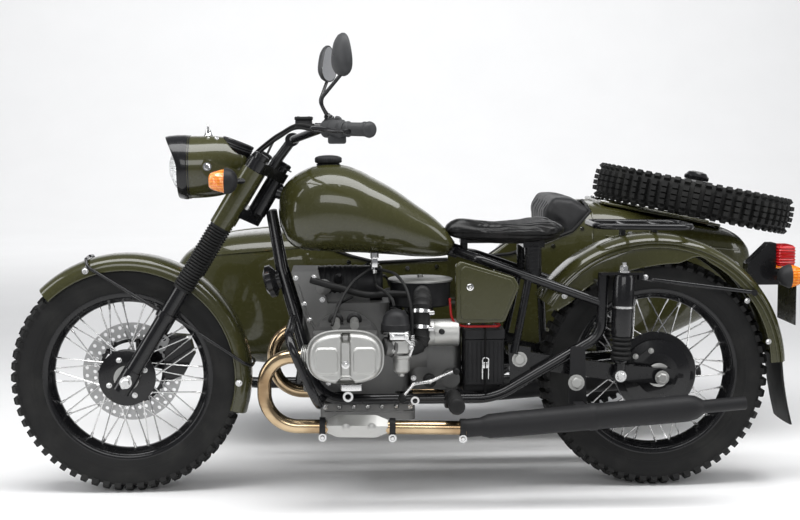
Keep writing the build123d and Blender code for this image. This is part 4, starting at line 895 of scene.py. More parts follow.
def generator():
    """Black generator on top of the case: ribbed cover, end cap and a cable boot."""
    step = np.linspace(0, 178, 72)
    ridge = 1.6 * (np.sin(step * 0.42) > 0) * (step > 20) * (step < 120)
    body = lathe(np.vstack([[(-2, 5), (-2, 40)], np.stack([step, 50.5 + ridge], -1), [(184, 44), (186, 6)]]),
                 (543, 0, 592), BACK, 40)
    return join(body, lathe([(0, 13), (20, 12), (26, 8), (40, 5)], (600, -48, 606), (0.1, -0.8, 0.4), 16))


def carburettor(part):
    """Left carburettor: float bowl and throat, black vacuum chamber, bright
    band, or its lever and spring."""
    if part == "body":
        bowl = lathe([(0, 6), (2, 16), (8, 22), (42, 23), (44, 27), (52, 27), (54, 22)], (772, -250, 371),
                     UP, 40)
        drain = lathe([(0, 9), (7, 9), (9, 6)], (772, -250, 364), UP, 6)
        box = brick((744, 792), (-282, -262), (430, 466), 4)
        return join(bowl, drain, box, bolts([(750, -282, 438), (786, -282, 458)], LEFT, 4, 4))
    if part == "throat":
        throat = lathe([(0, 20), (4, 25), (22, 26), (24, 31), (32, 31), (34, 26), (52, 26), (54, 29),
                        (62, 29), (64, 25), (74, 25)], (722, -264, 448), (84, 26, -4), 36)
        return join(throat, lathe([(0, 20), (0, 24), (62, 26), (66, 30)], (760, -252, 424), UP, 32))
    if part == "chamber":
        return lathe([(0, 30), (0, 38), (4, 41), (18, 41), (22, 38), (40, 34), (52, 24), (58, 12), (60, 2)],
                     (757, -252, 489), UP, 44)
    if part == "band":
        return join(hoop((0, 8), (38, 42.5), (757, -252, 482), UP, 44),
                    brick((738, 790), (-299, -288), (470, 488), 2),
                    bolts([(746, -299, 479), (782, -299, 479)], LEFT, 5, 4))
    arm = carry(curve([(784, -284, 470), (800, -286, 450), (792, -284, 424)], 16), 4, 10, 0.6)
    turn = np.linspace(0, 12 * np.pi, 160)
    coil = np.stack([800 + 6 * np.cos(turn), -282 + 6 * np.sin(turn), 452 + turn * 0.75], -1)
    return join(arm, carry(coil, 1.2, 6), bolts([(796, -288, 448)], LEFT, 5, 5))


ELBOW = [(792, -243, 444), (824, -232, 440), (832, -196, 572), (838, -60, 568)]


def elbow():
    """Rubber intake elbow with a bead at each end."""
    path = bent(ELBOW, [30, 36], 14)
    along = np.linspace(0, 1, len(path))
    bead = 3 * np.exp(-((along - 0.02) / 0.02) ** 2)
    folds = 2 * np.sin(along * 60) * (abs(along - 0.5) < 0.28)
    return carry(path, 25 + bead + folds, 28)


def clamps():
    """Steel worm clamps on the elbow's upright leg: bands, each with its screw box."""
    along = unit(np.subtract(ELBOW[2], ELBOW[1]))
    places = [np.array(ELBOW[1]) + along * reach for reach in (48, 92)]
    bands = [hoop((0, 10), (26, 29), place, along, 36) for place in places]
    boxes = [brick((place[0] + 18, place[0] + 34), (place[1] - 26, place[1] - 14),
                   (place[2], place[2] + 10), 2) for place in places]
    return join(*bands, *boxes)


def air_drum():
    """Air cleaner drum with rolled rims, and the tray it stands on."""
    drum = lathe([(0, 60), (0, 84), (4, 88), (10, 86.5), (58, 86.5), (64, 88), (69, 88), (69, 40)],
                 (836, 0, 528), UP, 64)
    return join(drum, brick((800, 872), (-60, 60), (501, 530), 3))


def air_lid():
    """Pale lid of the air cleaner: a stepped disc with its wing nut."""
    lid = lathe([(0, 91), (2, 93), (6, 93), (8, 90), (9, 60), (11, 56), (11, 2)], (836, 0, 597), UP, 64)
    return join(lid, bolts([(836, 0, 607)], UP, 8, 8))


def starter(part):
    """Starter motor on the left of the gearbox: bright drum, or its black end cap with the terminal."""
    if part == "drum":
        return join(lathe([(2, 30), (2, 37), (4, 38), (20, 38), (21, 37.4), (23, 38), (88, 38), (90, 36),
                           (91, 6)], (846, -138, 466), BACK, 40),
                    brick((866, 906), (-114, -92), (440, 468), 3))
    return join(lathe([(-4, 8), (-4, 28), (0, 34), (2, 34), (2, 20)], (846, -138, 466), BACK, 36),
                lathe([(0, 8), (14, 8), (16, 5), (22, 5)], (886, -174, 474), (0, -1, 0.1), 12))


HEADER = [(530, -284, 424), (400, -EXHAUST_Y, 424), (400, -EXHAUST_Y, 232), (949.7, -EXHAUST_Y, 220)]


def header():
    """Left exhaust pipe: straight legs and two bends."""
    return carry(bent(HEADER, [80, 92], 16), 19.2, 28)


def header_fittings():
    """Finned port nut, the six-sided pre-muffler box with its two bosses, and the pipe clamps."""
    step = np.linspace(0, 30, 31)
    nut = lathe(np.stack([step, 27 + 6 * (np.sin(step * 1.25) > 0)], -1), (534, -284.8, 424),
                (-130, 26, 0), 36)
    box = lathe([(0, 20), (26, 33), (34, 35), (132, 35), (140, 33), (168, 20)], (566, -EXHAUST_Y, 230),
                (1, 0, -0.02), 6)
    bosses = [lathe([(0, 12), (6, 12), (8, 9), (9, 2)], (x, -EXHAUST_Y - 29, z), LEFT, 22)
              for x, z in ((620, 232), (690, 231))]
    return join(nut, box, *bosses)


PIPE_CLAMPS = [(548, 230.5), (738, 226.5), (930, 222.4)]


def pipe_bands():
    """Black clamps round the pipe joints, each with a lug below."""
    bands = [hoop((0, 16), (19.5, 23.5), (x, -EXHAUST_Y, z), (1, 0, -0.02), 28)
             for x, z in PIPE_CLAMPS]
    lugs = [brick((x + 1, x + 15), (-EXHAUST_Y - 8, -EXHAUST_Y + 8), (z - 36, z - 20), 2)
            for x, z in PIPE_CLAMPS]
    return join(*bands, *lugs)


def header_bolts():
    """Clamp bolts seen end on below the pipes: a ring washer and a nut each."""
    spots = [(x + 8, -EXHAUST_Y - 8, z - 30) for x, z in PIPE_CLAMPS]
    rings = [hoop((0, 5), (7, 11), spot, LEFT, 24) for spot in spots]
    return join(bolts(spots, LEFT, 6.5, 9), *rings)


def muffler():
    """Silencer: cigar of revolution with a weld band, a domed end and a thin
    open tail pipe, on its hanger."""
    line = [(-6, 20), (-6, 25), (34, 25), (40, 27), (58, 33), (120, 34.6), (330, 35.5), (333, 37.6),
            (352, 37.6), (355, 35.6), (560, 37.5), (604, 37), (628, 32), (642, 24), (650, 18.6),
            (764, 18.2), (766, 17), (764, 15), (650, 14)]
    body = lathe(line, (952, -EXHAUST_Y, 220), (1, 0, 0.08), 44)
    hanger = plate(rounded([(1240, 266), (1290, 266), (1284, 430), (1244, 430)], 8, 4), -178, -184, 1)
    return join(body, hanger, rods([(1264, -182, 412)], [(1264, -157, 412)], 9, 14),
                brick((1250, 1280), (-254, -178), (266, 276), 2))


def fuel_line(part):
    """Fuel tap under the tank, or the hoses, leads and vent pipe round the engine."""
    if part == "tap":
        return join(lathe([(0, 12), (14, 12), (16, 9), (30, 9), (32, 13), (46, 13), (48, 8), (60, 6)],
                          (704, -56, 684), (0, 0, -1), 20),
                    rods([(704, -66, 660)], [(704, -100, 660)], 4, 10),
                    brick((696, 712), (-106, -98), (646, 674), 2))
    left = curve([(704, -56, 626), (706, -90, 596), (726, -190, 590), (748, -244, 572),
                  (752, -250, 556)], 40)
    right = curve([(704, -50, 630), (712, 60, 600), (736, 190, 592), (752, 246, 570), (756, 250, 554)], 40)
    breather = curve([(640, -70, 560), (600, -112, 540), (596, -160, 512), (612, -206, 500)], 36)
    lead = curve([(690, -84, 640), (640, -130, 606), (600, -210, 548), (584, -262, 506)], 40)
    spare_lead = curve([(690, 84, 640), (640, 130, 606), (600, 210, 548), (584, 262, 506)], 40)
    vent = curve([(524, -96, 612), (592, -112, 594), (693, -112, 570), (744, -104, 572),
                  (790, -84, 568)], 40)
    loop = curve([(704, -60, 640), (752, -150, 636), (790, -230, 590), (800, -262, 520),
                  (800, -258, 440)], 50)
    return join(*[carry(path, 4.2, 10) for path in (left, right, breather, lead, spare_lead, loop)],
                carry(vent, 9.5, 16))


piece("valve_covers_ribbed", both(valve_cover()), SATIN, ["valve_covers"], sharp=45)
piece("valve_cover_bolts", both(cover_trim()), STEEL)
piece("pushrod_tubes", both(rods([(594, -96, 506), (645, -96, 506)], [(594, -240, 502), (645, -240, 502)],
                                 12, 20)), SATIN)
piece("pushrod_collars", both(push_tubes()), RUBBER)
piece("engine_case_ribs", both(case_details()), CAST)
piece("engine_case_screws", both(case_screws()), STEEL)
piece("generator_cover", generator(), PLASTIC)
piece("carburettor_bodies", both(carburettor("body")), SATIN, ["carburettors"])
piece("carburettor_throats", both(carburettor("throat")), CAST)
piece("carburettor_chambers", both(carburettor("chamber")), PLASTIC)
piece("carburettor_bands", both(carburettor("band")), CHROME)
piece("carburettor_linkage", both(carburettor("linkage")), STEEL)
piece("intake_elbows", both(elbow()), RUBBER, ["air_cleaner"])
piece("elbow_clamps", both(clamps()), STEEL)
piece("air_cleaner_drum", air_drum(), PLASTIC)
piece("air_cleaner_lid", air_lid(), SATIN)
piece("starter_drum", starter("drum"), SATIN, ["starter_motor"])
piece("starter_ends", starter("ends"), PLASTIC)
piece("header_pipes", both(header()), GOLD, ["exhaust_headers"])
piece("header_boxes", both(header_fittings()), SATIN)
piece("header_clamps", both(pipe_bands()), HEAT_BLACK)
piece("header_clamp_bolts", both(header_bolts()), STEEL)
piece("muffler_shells", both(muffler()), HEAT_BLACK, ["mufflers"])
piece("fuel_tap", fuel_line("tap"), CHROME)
piece("engine_hoses", fuel_line("hoses"), RUBBER)


# Tank, covers and battery
TANK_ROWS = [(433, 6, 790, 812), (436, 26, 764, 846), (443, 44, 744, 862), (461, 78, 711, 886),
             (494, 106, 691, 911), (536, 124, 686, 928), (577, 131, 684, 934), (619, 134, 682, 930),
             (661, 132, 681, 916), (703, 124, 678, 894), (760, 108, 674, 862), (828, 86, 668, 814),
             (871, 71, 667, 783), (908, 54, 670, 748), (926, 40, 686, 722), (934, 18, 698, 712)]


def tank():
    """Teardrop tank: superellipse sections along X, their half width, floor and crown from the table."""
    rows = np.asarray(TANK_ROWS, float)
    x = 433 + 501 * (1 - np.cos(np.linspace(0, np.pi, 90))) / 2
    half_width, low, high = smooth(x, rows[:, 0], rows[:, 1:]).T[..., None]
    turn = ring_angles(96)
    y = bulge(np.cos(turn), 2 / 2.5)
    z = bulge(np.sin(turn), 2 / 2.15)
    height = (low + high) / 2 + (high - low) / 2 * z
    points = np.stack(np.broadcast_arrays(x[:, None], half_width * y, height), -1)
    return grid(points, loop_v=True)


def filler():
    """Filler cap: milled edge on a shallow dome, over a thin neck ring."""
    turn = ring_angles(144)
    rows = np.array([(-6, 33), (0, 34), (1, 30), (3, 36), (5, 37.5), (16, 37.5), (19, 35), (22, 28),
                     (24, 14), (24.5, 1)])
    mill = np.where((rows[:, :1] > 4) & (rows[:, :1] < 18), 1.0 * (np.sin(turn * 36) > 0), 0)
    radius = rows[:, 1:] + mill
    points = np.stack([radius * np.cos(turn), radius * np.sin(turn),
                       np.broadcast_to(rows[:, :1], radius.shape)], -1)
    return moved(grid(points, loop_v=True), (575, 0, 934))


SIDE_COVER = [(926, 494), (1062, 494), (1104, 596), (1090, 622), (926, 672)]


def side_cover():
    """Tool box lid: rounded panel with a soft edge and a raised field."""
    outline = rounded(SIDE_COVER, 16, 8)
    centre = outline.mean(0)
    field = centre + 0.86 * (outline - centre)
    return join(plate(outline, -148, -164, 6), plate(field, -162, -166.5, 2.5),
                rods([(1040, -150, 628)], [(1040, -102, 628)], 9, 14))


def side_lock():
    """Ring lock of the side cover with its key slot plate."""
    return join(lathe([(0, 6), (0, 10), (3, 10), (4, 8), (4, 6)], (966, -164, 596), LEFT, 32, ring=True),
                lathe([(0, 4.5), (3, 4.5), (4, 3)], (966, -164, 596), LEFT, 20))


def battery_case():
    """Battery: ribbed case with a lid line and its tray."""
    feet = np.array([(962 + 12 * k, -145.5, 326) for k in range(9)])
    ribs = rods(feet, feet + (0, 0, 114), 2.2, 8)
    return join(brick((952, 1064), (-146, -36), (318, 446), 3, 24, 14),
                brick((950, 1066), (-148, -34), (446, 474), 4, 24, 14),
                brick((950, 1060), (-118, 60), (293, 318), 2, 24, 14), ribs)


def battery_strap():
    """Rubber strap over the battery: a flat band up the front, over the lid and down behind."""
    path = bent([(1010, -150, 300), (1010, -150, 478), (1010, -32, 478), (1010, -32, 310)], [8, 8], 8)
    return carry(path, 11, 12, 0.22)


def battery_buckle():
    """Steel hook that holds the strap, and the terminal nuts."""
    hook = carry(bent([(1002, -153, 336), (1002, -155, 396), (1018, -155, 396), (1018, -153, 336)], [6, 6],
                      6), 2.6, 10)
    return join(hook, brick((1000, 1020), (-157, -150), (366, 384), 2),
                bolts([(970, -70, 474), (1046, -70, 474)], UP, 6, 8))


def red_cable():
    """Red battery cable: down the front edge of the side cover, along below it and into the battery."""
    return carry(curve([(912, -128, 560), (914, -150, 520), (926, -156, 494), (960, -158, 485),
                        (1040, -158, 485), (1052, -120, 484), (1046, -72, 482)], 70), 3.4, 10)


piece("fuel_tank_skin", tank(), OLIVE, ["fuel_tank"], sharp=60)
piece("filler_cap_milled", filler(), PLASTIC, ["filler_cap"], sharp=50)
piece("side_cover_panels", both(side_cover()), OLIVE, ["side_covers"])
piece("side_cover_locks", both(side_lock()), CHROME)
piece("battery_case", battery_case(), PLASTIC, ["battery"])
piece("battery_strap", battery_strap(), RUBBER)
piece("battery_buckle", battery_buckle(), STEEL)
piece("battery_cable", red_cable(), RED_WIRE)


# Fenders
def fender(centre, angles, half_width, crown, edge, power, wall=3):
    """Fender shell: a superellipse trough turned about the wheel's axle, its lower edge by angle from a
    table of (angle, radius), closed over its inner skin. Angles run from the rear upwards."""
    turn = np.radians(np.linspace(*angles, 96))[:, None]
    lower = smooth(np.degrees(turn[:, 0]), *np.asarray(edge, float).T)
    swing = np.linspace(-np.pi / 2, np.pi / 2, 45)
    across = np.sign(swing) * abs(np.sin(swing)) ** (2 / power)
    lift = abs(np.cos(swing)) ** (2 / power)
    outer = lower + (crown - lower) * lift
    inner = lower + (crown - wall - lower) * lift
    radius = np.concatenate([outer, inner[:, ::-1]], 1)
    y = np.concatenate([half_width * across, (half_width - wall) * across[::-1]])
    points = np.stack(np.broadcast_arrays(radius * np.cos(turn), y, radius * np.sin(turn)), -1)
    return moved(grid(points, loop_v=True), centre)


def arc_beads(centre, angles, half_width, rows, size):
    """Rolled edges and pressed beads: round wires at radii, by a table of
    (angle, radius), on both sides."""
    turn = np.radians(np.linspace(*angles, 96))
    wires = []
    for row in rows:
        radius = smooth(np.degrees(turn), *np.asarray(row, float).T)[:, 0]
        for side in SIDES:
            path = np.stack([radius * np.cos(turn), np.full_like(turn, side * half_width),
                             radius * np.sin(turn)], -1)
            wires.append(moved(carry(path, size, 8), centre))
    return join(*wires)


FRONT_EDGE = [(-18, 309), (134, 309)]
REAR_EDGE = [(3, 338), (62, 345), (68, 350), (79, 313), (102, 297), (117, 306), (130, 309), (140, 313),
             (148, 330)]
SIDE_EDGE = [(2, 330), (168, 330)]
REAR_CENTRE = (1500, 0, 345)


def front_stay_bars():
    """Round stays from the fork clamps to the front fender, hooked over its
    crown, and the clamps themselves."""
    clamp = leg_point(214, -LEG_Y)
    fore = bent([clamp + (-12, 26, 6), (-100, -73, 650), (-107, -56, 671), (-108, -14, 673)], [18, 10], 8)
    aft = bent([clamp + (20, 26, -8), (336, -74, 372), (353, -54, 364), (356, -20, 364)], [16, 10], 8)
    ring = hoop((-9, 9), (23.4, 29), clamp, LEG_UP, 28)
    ears = brick((clamp[0] - 18, clamp[0] + 26), (-78, -68), (clamp[2] - 14, clamp[2] + 14), 4)
    return both(join(carry(fore, 4.6, 12), carry(aft, 4.6, 12), ring, ears))


def rear_stays():
    """Struts from the shock ears back along the rear fender."""
    path = bent([(1443, -150, 618), (1484, -100, 606), (1782, -94, 566)], [40], 9)
    ends = rods([(1443, -150, 612), (1780, -86, 566)], [(1443, -150, 625.6), (1780, -101, 566)], 9, 16)
    return both(join(carry(path, 6, 14), ends))


def rear_bolts():
    """Bright bolts on the rear fender's side, on its crown and at the struts' front ends."""
    spots = [(1460, -137, 617), (1762, -90, 542), (1826, -90, 424), (1240, -90, 560)]
    crown = REAR_CENTRE + 388 * np.array([(np.cos(a), 0, np.sin(a)) for a in (0.86, 1.72)])
    return join(both(bolts(spots, LEFT, 6, 6)), bolts(crown[:1], unit(crown[0] - REAR_CENTRE), 7, 5),
                bolts(crown[1:], unit(crown[1] - REAR_CENTRE), 7, 5))


def mud_flap():
    """Rubber flap: a thin sheet that curves back as it drops, by a square law."""
    drop = np.linspace(0, 1, 24)[:, None]
    across = np.linspace(-80, 80, 12)[None]
    x = 1860 + 12 * drop + 20 * drop ** 2 + 4 * (across / 80) ** 2
    points = np.stack(np.broadcast_arrays(x, across, 374 - 193 * drop), -1)
    back = points + (6, 0, 0)
    loop = np.concatenate([points, back[:, ::-1]], 1)
    return grid(loop, loop_v=True)


piece("front_fender_shell", fender(FRONT_AXLE, (-18, 134), 67, 352, FRONT_EDGE, 2.8), OLIVE,
      ["front_fender"], body="fork", sharp=50)
piece("front_fender_edge", arc_beads(FRONT_AXLE, (-18, 134), 66, [FRONT_EDGE], 3.5), OLIVE, body="fork")
piece("front_fender_stays", front_stay_bars(), BLACK, body="fork")
piece("rear_fender_shell", fender(REAR_CENTRE, (3, 148), 88, 388, REAR_EDGE, 3.6), OLIVE, ["rear_fender"],
      sharp=50)
piece("rear_fender_beads", arc_beads(REAR_CENTRE, (3, 148), 87,
                                     [REAR_EDGE, [(3, 356), (148, 350)], [(3, 368), (148, 362)]], 3.2),
      OLIVE)
piece("rear_fender_struts", rear_stays(), BLACK)
piece("rear_fender_bolts", rear_bolts(), STEEL)
piece("mudflap_sheet", mud_flap(), RUBBER, ["mudflap"])
piece("sidecar_fender_shell", fender(SIDECAR_AXLE, (2, 168), 86, 396, SIDE_EDGE, 3.2), OLIVE,
      ["sidecar_fender"], sharp=50)
piece("sidecar_fender_beads", arc_beads(SIDECAR_AXLE, (2, 168), 85, [SIDE_EDGE, [(2, 354), (168, 354)]],
                                        3.2), OLIVE)
piece("sidecar_fender_stays", join(rods([(1394, 951, 590)], [(1360, 1066, 655)], 8, 14),
                                   carry(bent([(1136, 1068, 420), (1136, 1010, 420), (1120, 949, 241)],
                                              [40], 9), 8, 14)), BLACK)


# Rear suspension, foot controls and tail lamps
SHOCK_FOOT, SHOCK_TOP = np.array((1388, -150, 342.0)), np.array((1398, -150, 626.0))


def shock(part):
    """Left rear shock: black cover with a thin bright line over a rubber
    bellows, or its eye and top nut."""
    along = SHOCK_TOP - SHOCK_FOOT
    if part == "cover":
        return join(lathe([(112, 24), (112, 29), (116, 30.5), (190, 30.5), (192, 29), (196, 29),
                           (198, 30.5), (276, 30.5), (284, 27), (284, 8)], SHOCK_FOOT, along, 36),
                    lathe([(0, 15), (34, 15), (38, 20), (44, 22), (44, 12)], SHOCK_FOOT, along, 28),
                    hoop((-13, 13), (10.5, 19), SHOCK_FOOT, RIGHT, 32))
    if part == "bellows":
        reach = np.linspace(44, 112, 80)
        return lathe(np.stack([reach, 22 + 7 * abs(np.sin(np.pi * 5 * (reach - 44) / 68)) ** 0.8], -1),
                     SHOCK_FOOT, along, 36)
    band = hoop((191, 197), (29.2, 30), SHOCK_FOOT, along, 36)
    nuts = bolts([SHOCK_TOP + (0, 0, 7)], UP, 13, 18)
    return join(band, nuts, bolts([SHOCK_FOOT - (0, 16, 0)], LEFT, 12, 9),
                rods([SHOCK_TOP], [SHOCK_TOP + (0, 0, 34)], 6.5, 14))


def axle_trim():
    """Rear axle nut, the drum's bright centre, the cross-tube's big bolt and the arm's bolts."""
    centre = lathe([(0, 8), (0, 34), (4, 34), (6, 30), (6, 14), (10, 12)], (1510, -92, 332), LEFT, 36)
    return join(centre, bolts([(1510, -140, 332)], LEFT, 15, 12), bolts([(1260, -186, 329)], LEFT, 17, 12),
                bolts([(1108, -131, 387)], LEFT, 16, 10),
                bolts([(1446, -84, 384), (1490, -84, 400)], LEFT, 6, 6))


def peg():
    """Left foot peg: ridged rubber on its arm."""
    reach = np.linspace(0, 128, 97)
    ridge = 1.6 * (np.sin(reach * 0.9) > 0)
    return lathe(np.vstack([[(-4, 12), (-4, 20)], np.stack([reach, 21 + ridge], -1),
                            [(133, 20), (135, 12), (135, 1)]]),
                 (917, -195, 292), LEFT, 32)


def peg_arm():
    """Peg's arm and the clamp round the lower frame rail."""
    return join(rods([(917, -150, 288)], [(917, -200, 292)], 11, 18),
                brick((895, 936), (-166, -116), (256, 304), 4))


def shift_lever(part):
    """Gear lever on the left: a bent steel rod on its hub, or the black hub and toe rubbers."""
    if part == "pads":
        return join(lathe([(0, 14), (2, 18), (30, 18), (33, 14), (33, 2)], (854, -128, 332), LEFT, 28),
                    lathe([(0, 8), (2, 10), (40, 10), (43, 7), (43, 1)], (776, -172, 292), LEFT, 20),
                    lathe([(0, 8), (2, 9), (30, 9), (32, 7), (32, 1)], (926, -162, 364), LEFT, 20))
    bar = carry(bent([(776, -178, 292), (808, -172, 327), (854, -164, 332), (926, -166, 364)], [12, 12], 7),
                5.2, 12)
    return join(bar, rods([(854, -112, 332)], [(854, -164, 332)], 8, 16),
                bolts([(854, -163, 332)], LEFT, 6, 5))


def tail_lamp():
    """Red lamp: a bevelled box with grooves across its lens, stood on its black base."""
    ribs = np.linspace(0, 1, 40)
    height = 634 + 60 * ribs
    wave = 1.2 * np.sin(ribs * 2 * np.pi * 7)
    turn = ring_angles(64)
    plan = np.stack([bulge(np.cos(turn), 0.28), bulge(np.sin(turn), 0.28)], -1)
    inset = 5 * (2 * abs(ribs - 0.5)) ** 8
    size = np.stack([26 - inset + wave, 45 - inset + wave], -1)
    flat = plan[None] * size[:, None] + (1889, 0)
    return grid(np.concatenate([flat, np.broadcast_to(height[:, None, None], (*flat.shape[:2], 1))], -1),
                loop_v=True)


def tail_signal():
    """Rear turn signal lens: ribbed cone, its small end rearward."""
    step = np.linspace(2, 44, 36)
    radius = 32 - 16 * ((step - 2) / 42) ** 1.8 + 0.8 * np.sin(step * 1.6)
    return lathe(np.vstack([np.stack([step, radius], -1), [(45, 4)]]), (1872, -112, 614), BACK, 40)


def tail_cup():
    """Black cup that holds a rear signal's lens."""
    return lathe([(-28, 6), (-28, 13), (-20, 25), (-2, 33), (4, 34), (4, 30)], (1872, -112, 614), BACK, 40)


piece("shock_covers", both(shock("cover")), BLACK, ["rear_shocks"])
piece("shock_bellows", both(shock("bellows")), RUBBER, sharp=60)
piece("shock_nuts", both(shock("nuts")), STEEL)
piece("axle_trim", axle_trim(), SATIN)
piece("foot_pegs", both(peg()), RUBBER, ["foot_controls"], sharp=60)
piece("foot_peg_arms", both(peg_arm()), BLACK)
piece("shift_lever", shift_lever("blade"), STEEL)
piece("shift_pads", shift_lever("pads"), RUBBER)
piece("tail_lamp_lens", tail_lamp(), RED, ["tail_lamps"], sharp=60)
piece("tail_signal_lenses", both(tail_signal()), AMBER, sharp=60)
piece("tail_signal_cups", both(tail_cup()), PLASTIC)


# Sidecar
TUB_ROWS = [(60, 500, 520, 8), (66, 452, 566, 62), (84, 405, 606, 104), (116, 362, 640, 142),
            (170, 320, 670, 176), (250, 290, 692, 206), (360, 274, 704, 228), (520, 268, 712, 244),
            (800, 268, 730, 254), (1430, 272, 790, 252), (1640, 344, 748, 246), (1850, 448, 706, 228),
            (1886, 474, 690, 214), (1914, 500, 666, 192), (1932, 532, 636, 162), (1938, 574, 594, 30)]
COAMING = [(490, 760), (500, 716), (560, 660), (640, 632), (720, 612), (960, 622), (1140, 636), (1220, 660),
           (1340, 706), (1404, 768), (1414, 830)]
COAMING_FAR = [(490, 760), (500, 716), (540, 650), (600, 572), (680, 538), (960, 534), (1100, 570),
               (1220, 652), (1340, 706), (1404, 768), (1414, 830)]
TUB_POWER = 5
LID_HOLE = (1460, 1826, 172)


def tub_line(x):
    """Middle height, half height and half width of the tub along X."""
    rows = np.asarray(TUB_ROWS, float)
    low, high, half_width = smooth(x, rows[:, 0], rows[:, 1:]).T
    return (low + high) / 2, (high - low) / 2, half_width


def tub():
    """Sidecar body: superellipse sections along X, each drawn from the bottom up to the
    coaming's height, or closed over the top where there is no cockpit; the quads under
    the trunk lid are left out."""
    stations = np.r_[np.linspace(0, 1, 26) ** 1.7 * 400 + 60, np.linspace(470, 570, 26),
                     np.linspace(590, 1360, 30), np.linspace(1372, 1424, 20), np.linspace(1440, 1460, 3),
                     np.linspace(1490, 1826, 12), np.linspace(1840, 1938, 22)]
    middle, half_height, half_width = tub_line(stations)
    near, far = (np.interp(stations, *np.asarray(edge, float).T, left=2000, right=2000)
                 for edge in (COAMING, COAMING_FAR))
    share = np.clip((np.stack([near, far]) - middle) / half_height, 0, 1)
    limit = np.arccos(-share ** (TUB_POWER / 2))
    step = np.linspace(-1, 1, 121)[None]
    swing = step * np.where(step < 0, limit[0][:, None], limit[1][:, None])
    y = SIDECAR_Y + half_width[:, None] * np.sign(swing) * abs(np.sin(swing)) ** (2 / TUB_POWER)
    z = middle[:, None] - half_height[:, None] * bulge(np.cos(swing), 2 / TUB_POWER)
    points, (quads,) = grid(np.stack(np.broadcast_arrays(stations[:, None], y, z), -1))
    centre = points[quads].mean(1)
    on_top = centre[:, 2] > np.interp(centre[:, 0], stations, middle) + 60
    front, rear, half_hole = LID_HOLE
    along, across = centre[:, 0], abs(centre[:, 1] - SIDECAR_Y)
    quads = quads[~(on_top & (along > front) & (along < rear) & (across < half_hole))]
    return points, [quads if volume(points - points.mean(0), [quads]) > 0 else quads[:, ::-1]]


def coaming_path(edge, side, inset=0.0):
    """Edge of the cockpit on one side, front to rear, a little below the rim by the inset."""
    x = np.linspace(499, 1412, 90)
    middle, half_height, half_width = tub_line(x)
    rim = np.minimum(np.interp(x, *np.asarray(edge, float).T), middle + half_height) - inset
    share = np.clip((rim - middle) / half_height, 0, 1)
    return np.stack([x, SIDECAR_Y + side * half_width * (1 - share ** TUB_POWER) ** (1 / TUB_POWER),
                     rim], -1)


def coaming_trim():
    """Rubber edging round the cockpit: a tube along both sides and across the front and rear."""
    left, right = coaming_path(COAMING, -1), coaming_path(COAMING_FAR, 1)
    return carry(np.vstack([left, right[-2::-1]]), 5, 10)


def snaps():
    """Snap buttons for the cover: small domes under the cockpit's edge."""
    left, right = coaming_path(COAMING, -1, 22)[4:86:9], coaming_path(COAMING_FAR, 1, 22)[4:86:9]
    heads = np.vstack([left, right])
    outward = np.sign(heads[:, 1:2] - SIDECAR_Y) * RIGHT
    return join(rods(heads, heads + outward * 3, 7, 14), rods(heads, heads + outward * 5.5, 4.5, 12))


def waist_bead():
    """Pressed bead along the body's side at the nose and the tail, at one height on its surface."""
    wires = []
    for start, end in ((150, 536), (1446, 1880)):
        x = np.linspace(start, end, 60)
        middle, half_height, half_width = tub_line(x)
        height = np.interp(x, [150, 480, 1440, 1880], [628, 659, 690, 640])
        share = np.clip((height - middle) / half_height, -0.96, 0.96)
        path = np.stack([x, half_width * (1 - abs(share) ** TUB_POWER) ** (1 / TUB_POWER), height], -1)
        wires += [moved(carry(path * (1, side, 1), 3.5, 8), (0, SIDECAR_Y, 0)) for side in SIDES]
    return join(*wires)


def bulkhead():
    """Panel between cockpit and trunk: the section at its place, drawn in to
    its middle, with a soft edge."""
    middle, half_height, half_width = (value[0] for value in tub_line(np.array([1426.0])))
    turn = ring_angles(96)
    y = bulge(np.sin(turn), 2 / TUB_POWER)
    z = -bulge(np.cos(turn), 2 / TUB_POWER)
    rows = np.array([(1424, 0.05), (1424, 0.5), (1424, 0.95), (1426, 0.965), (1430, 0.95), (1430, 0.05)])
    points = np.stack(np.broadcast_arrays(rows[:, :1], SIDECAR_Y + half_width * rows[:, 1:] * y,
                                          middle + half_height * rows[:, 1:] * z), -1)
    return grid(points, loop_v=True)


DECK_ALONG = np.array((np.cos(DECK_SLOPE), 0, -np.sin(DECK_SLOPE)))
DECK_UP = np.array((np.sin(DECK_SLOPE), 0, np.cos(DECK_SLOPE)))
HINGE = np.array((1442, SIDECAR_Y, 787.6))


def on_deck(shape):
    """A shape from the deck's own axes, at the lid's hinge, to its place."""
    return moved(shape, HINGE, np.stack([DECK_ALONG, RIGHT, DECK_UP], -1))


def trunk_panel():
    """Trunk lid: a panel with a rolled edge and two stiffening swages."""
    swages = rods([(30, -110, 9), (30, 110, 9)], [(372, -110, 9), (372, 110, 9)], 5, 12)
    return on_deck(join(brick((0, 402), (-190, 190), (0.4, 9.4), 3, 32, 12), swages))


def spare_mount():
    """Spare wheel's carrier: foot, stud and the big hand nut over the hub."""
    line = [(-66, 48), (-61, 48), (-61, 12), (60, 10), (61, 38), (66, 41), (74, 41), (78, 36), (86, 30),
            (90, 16), (90, 1)]
    return lathe(line, SPARE_CENTRE, DECK_UP, 40)


def lid_fittings():
    """Lid hinges along its front edge, with their screws."""
    hinges = join(*[brick((3, 40), (y - 24, y + 24), (7, 12), 2) for y in (-120, 120)])
    screws = [(22, y, 11.5) for y in (-134, -106, 106, 134)]
    return on_deck(join(hinges, bolts(screws, UP, 4, 4)))


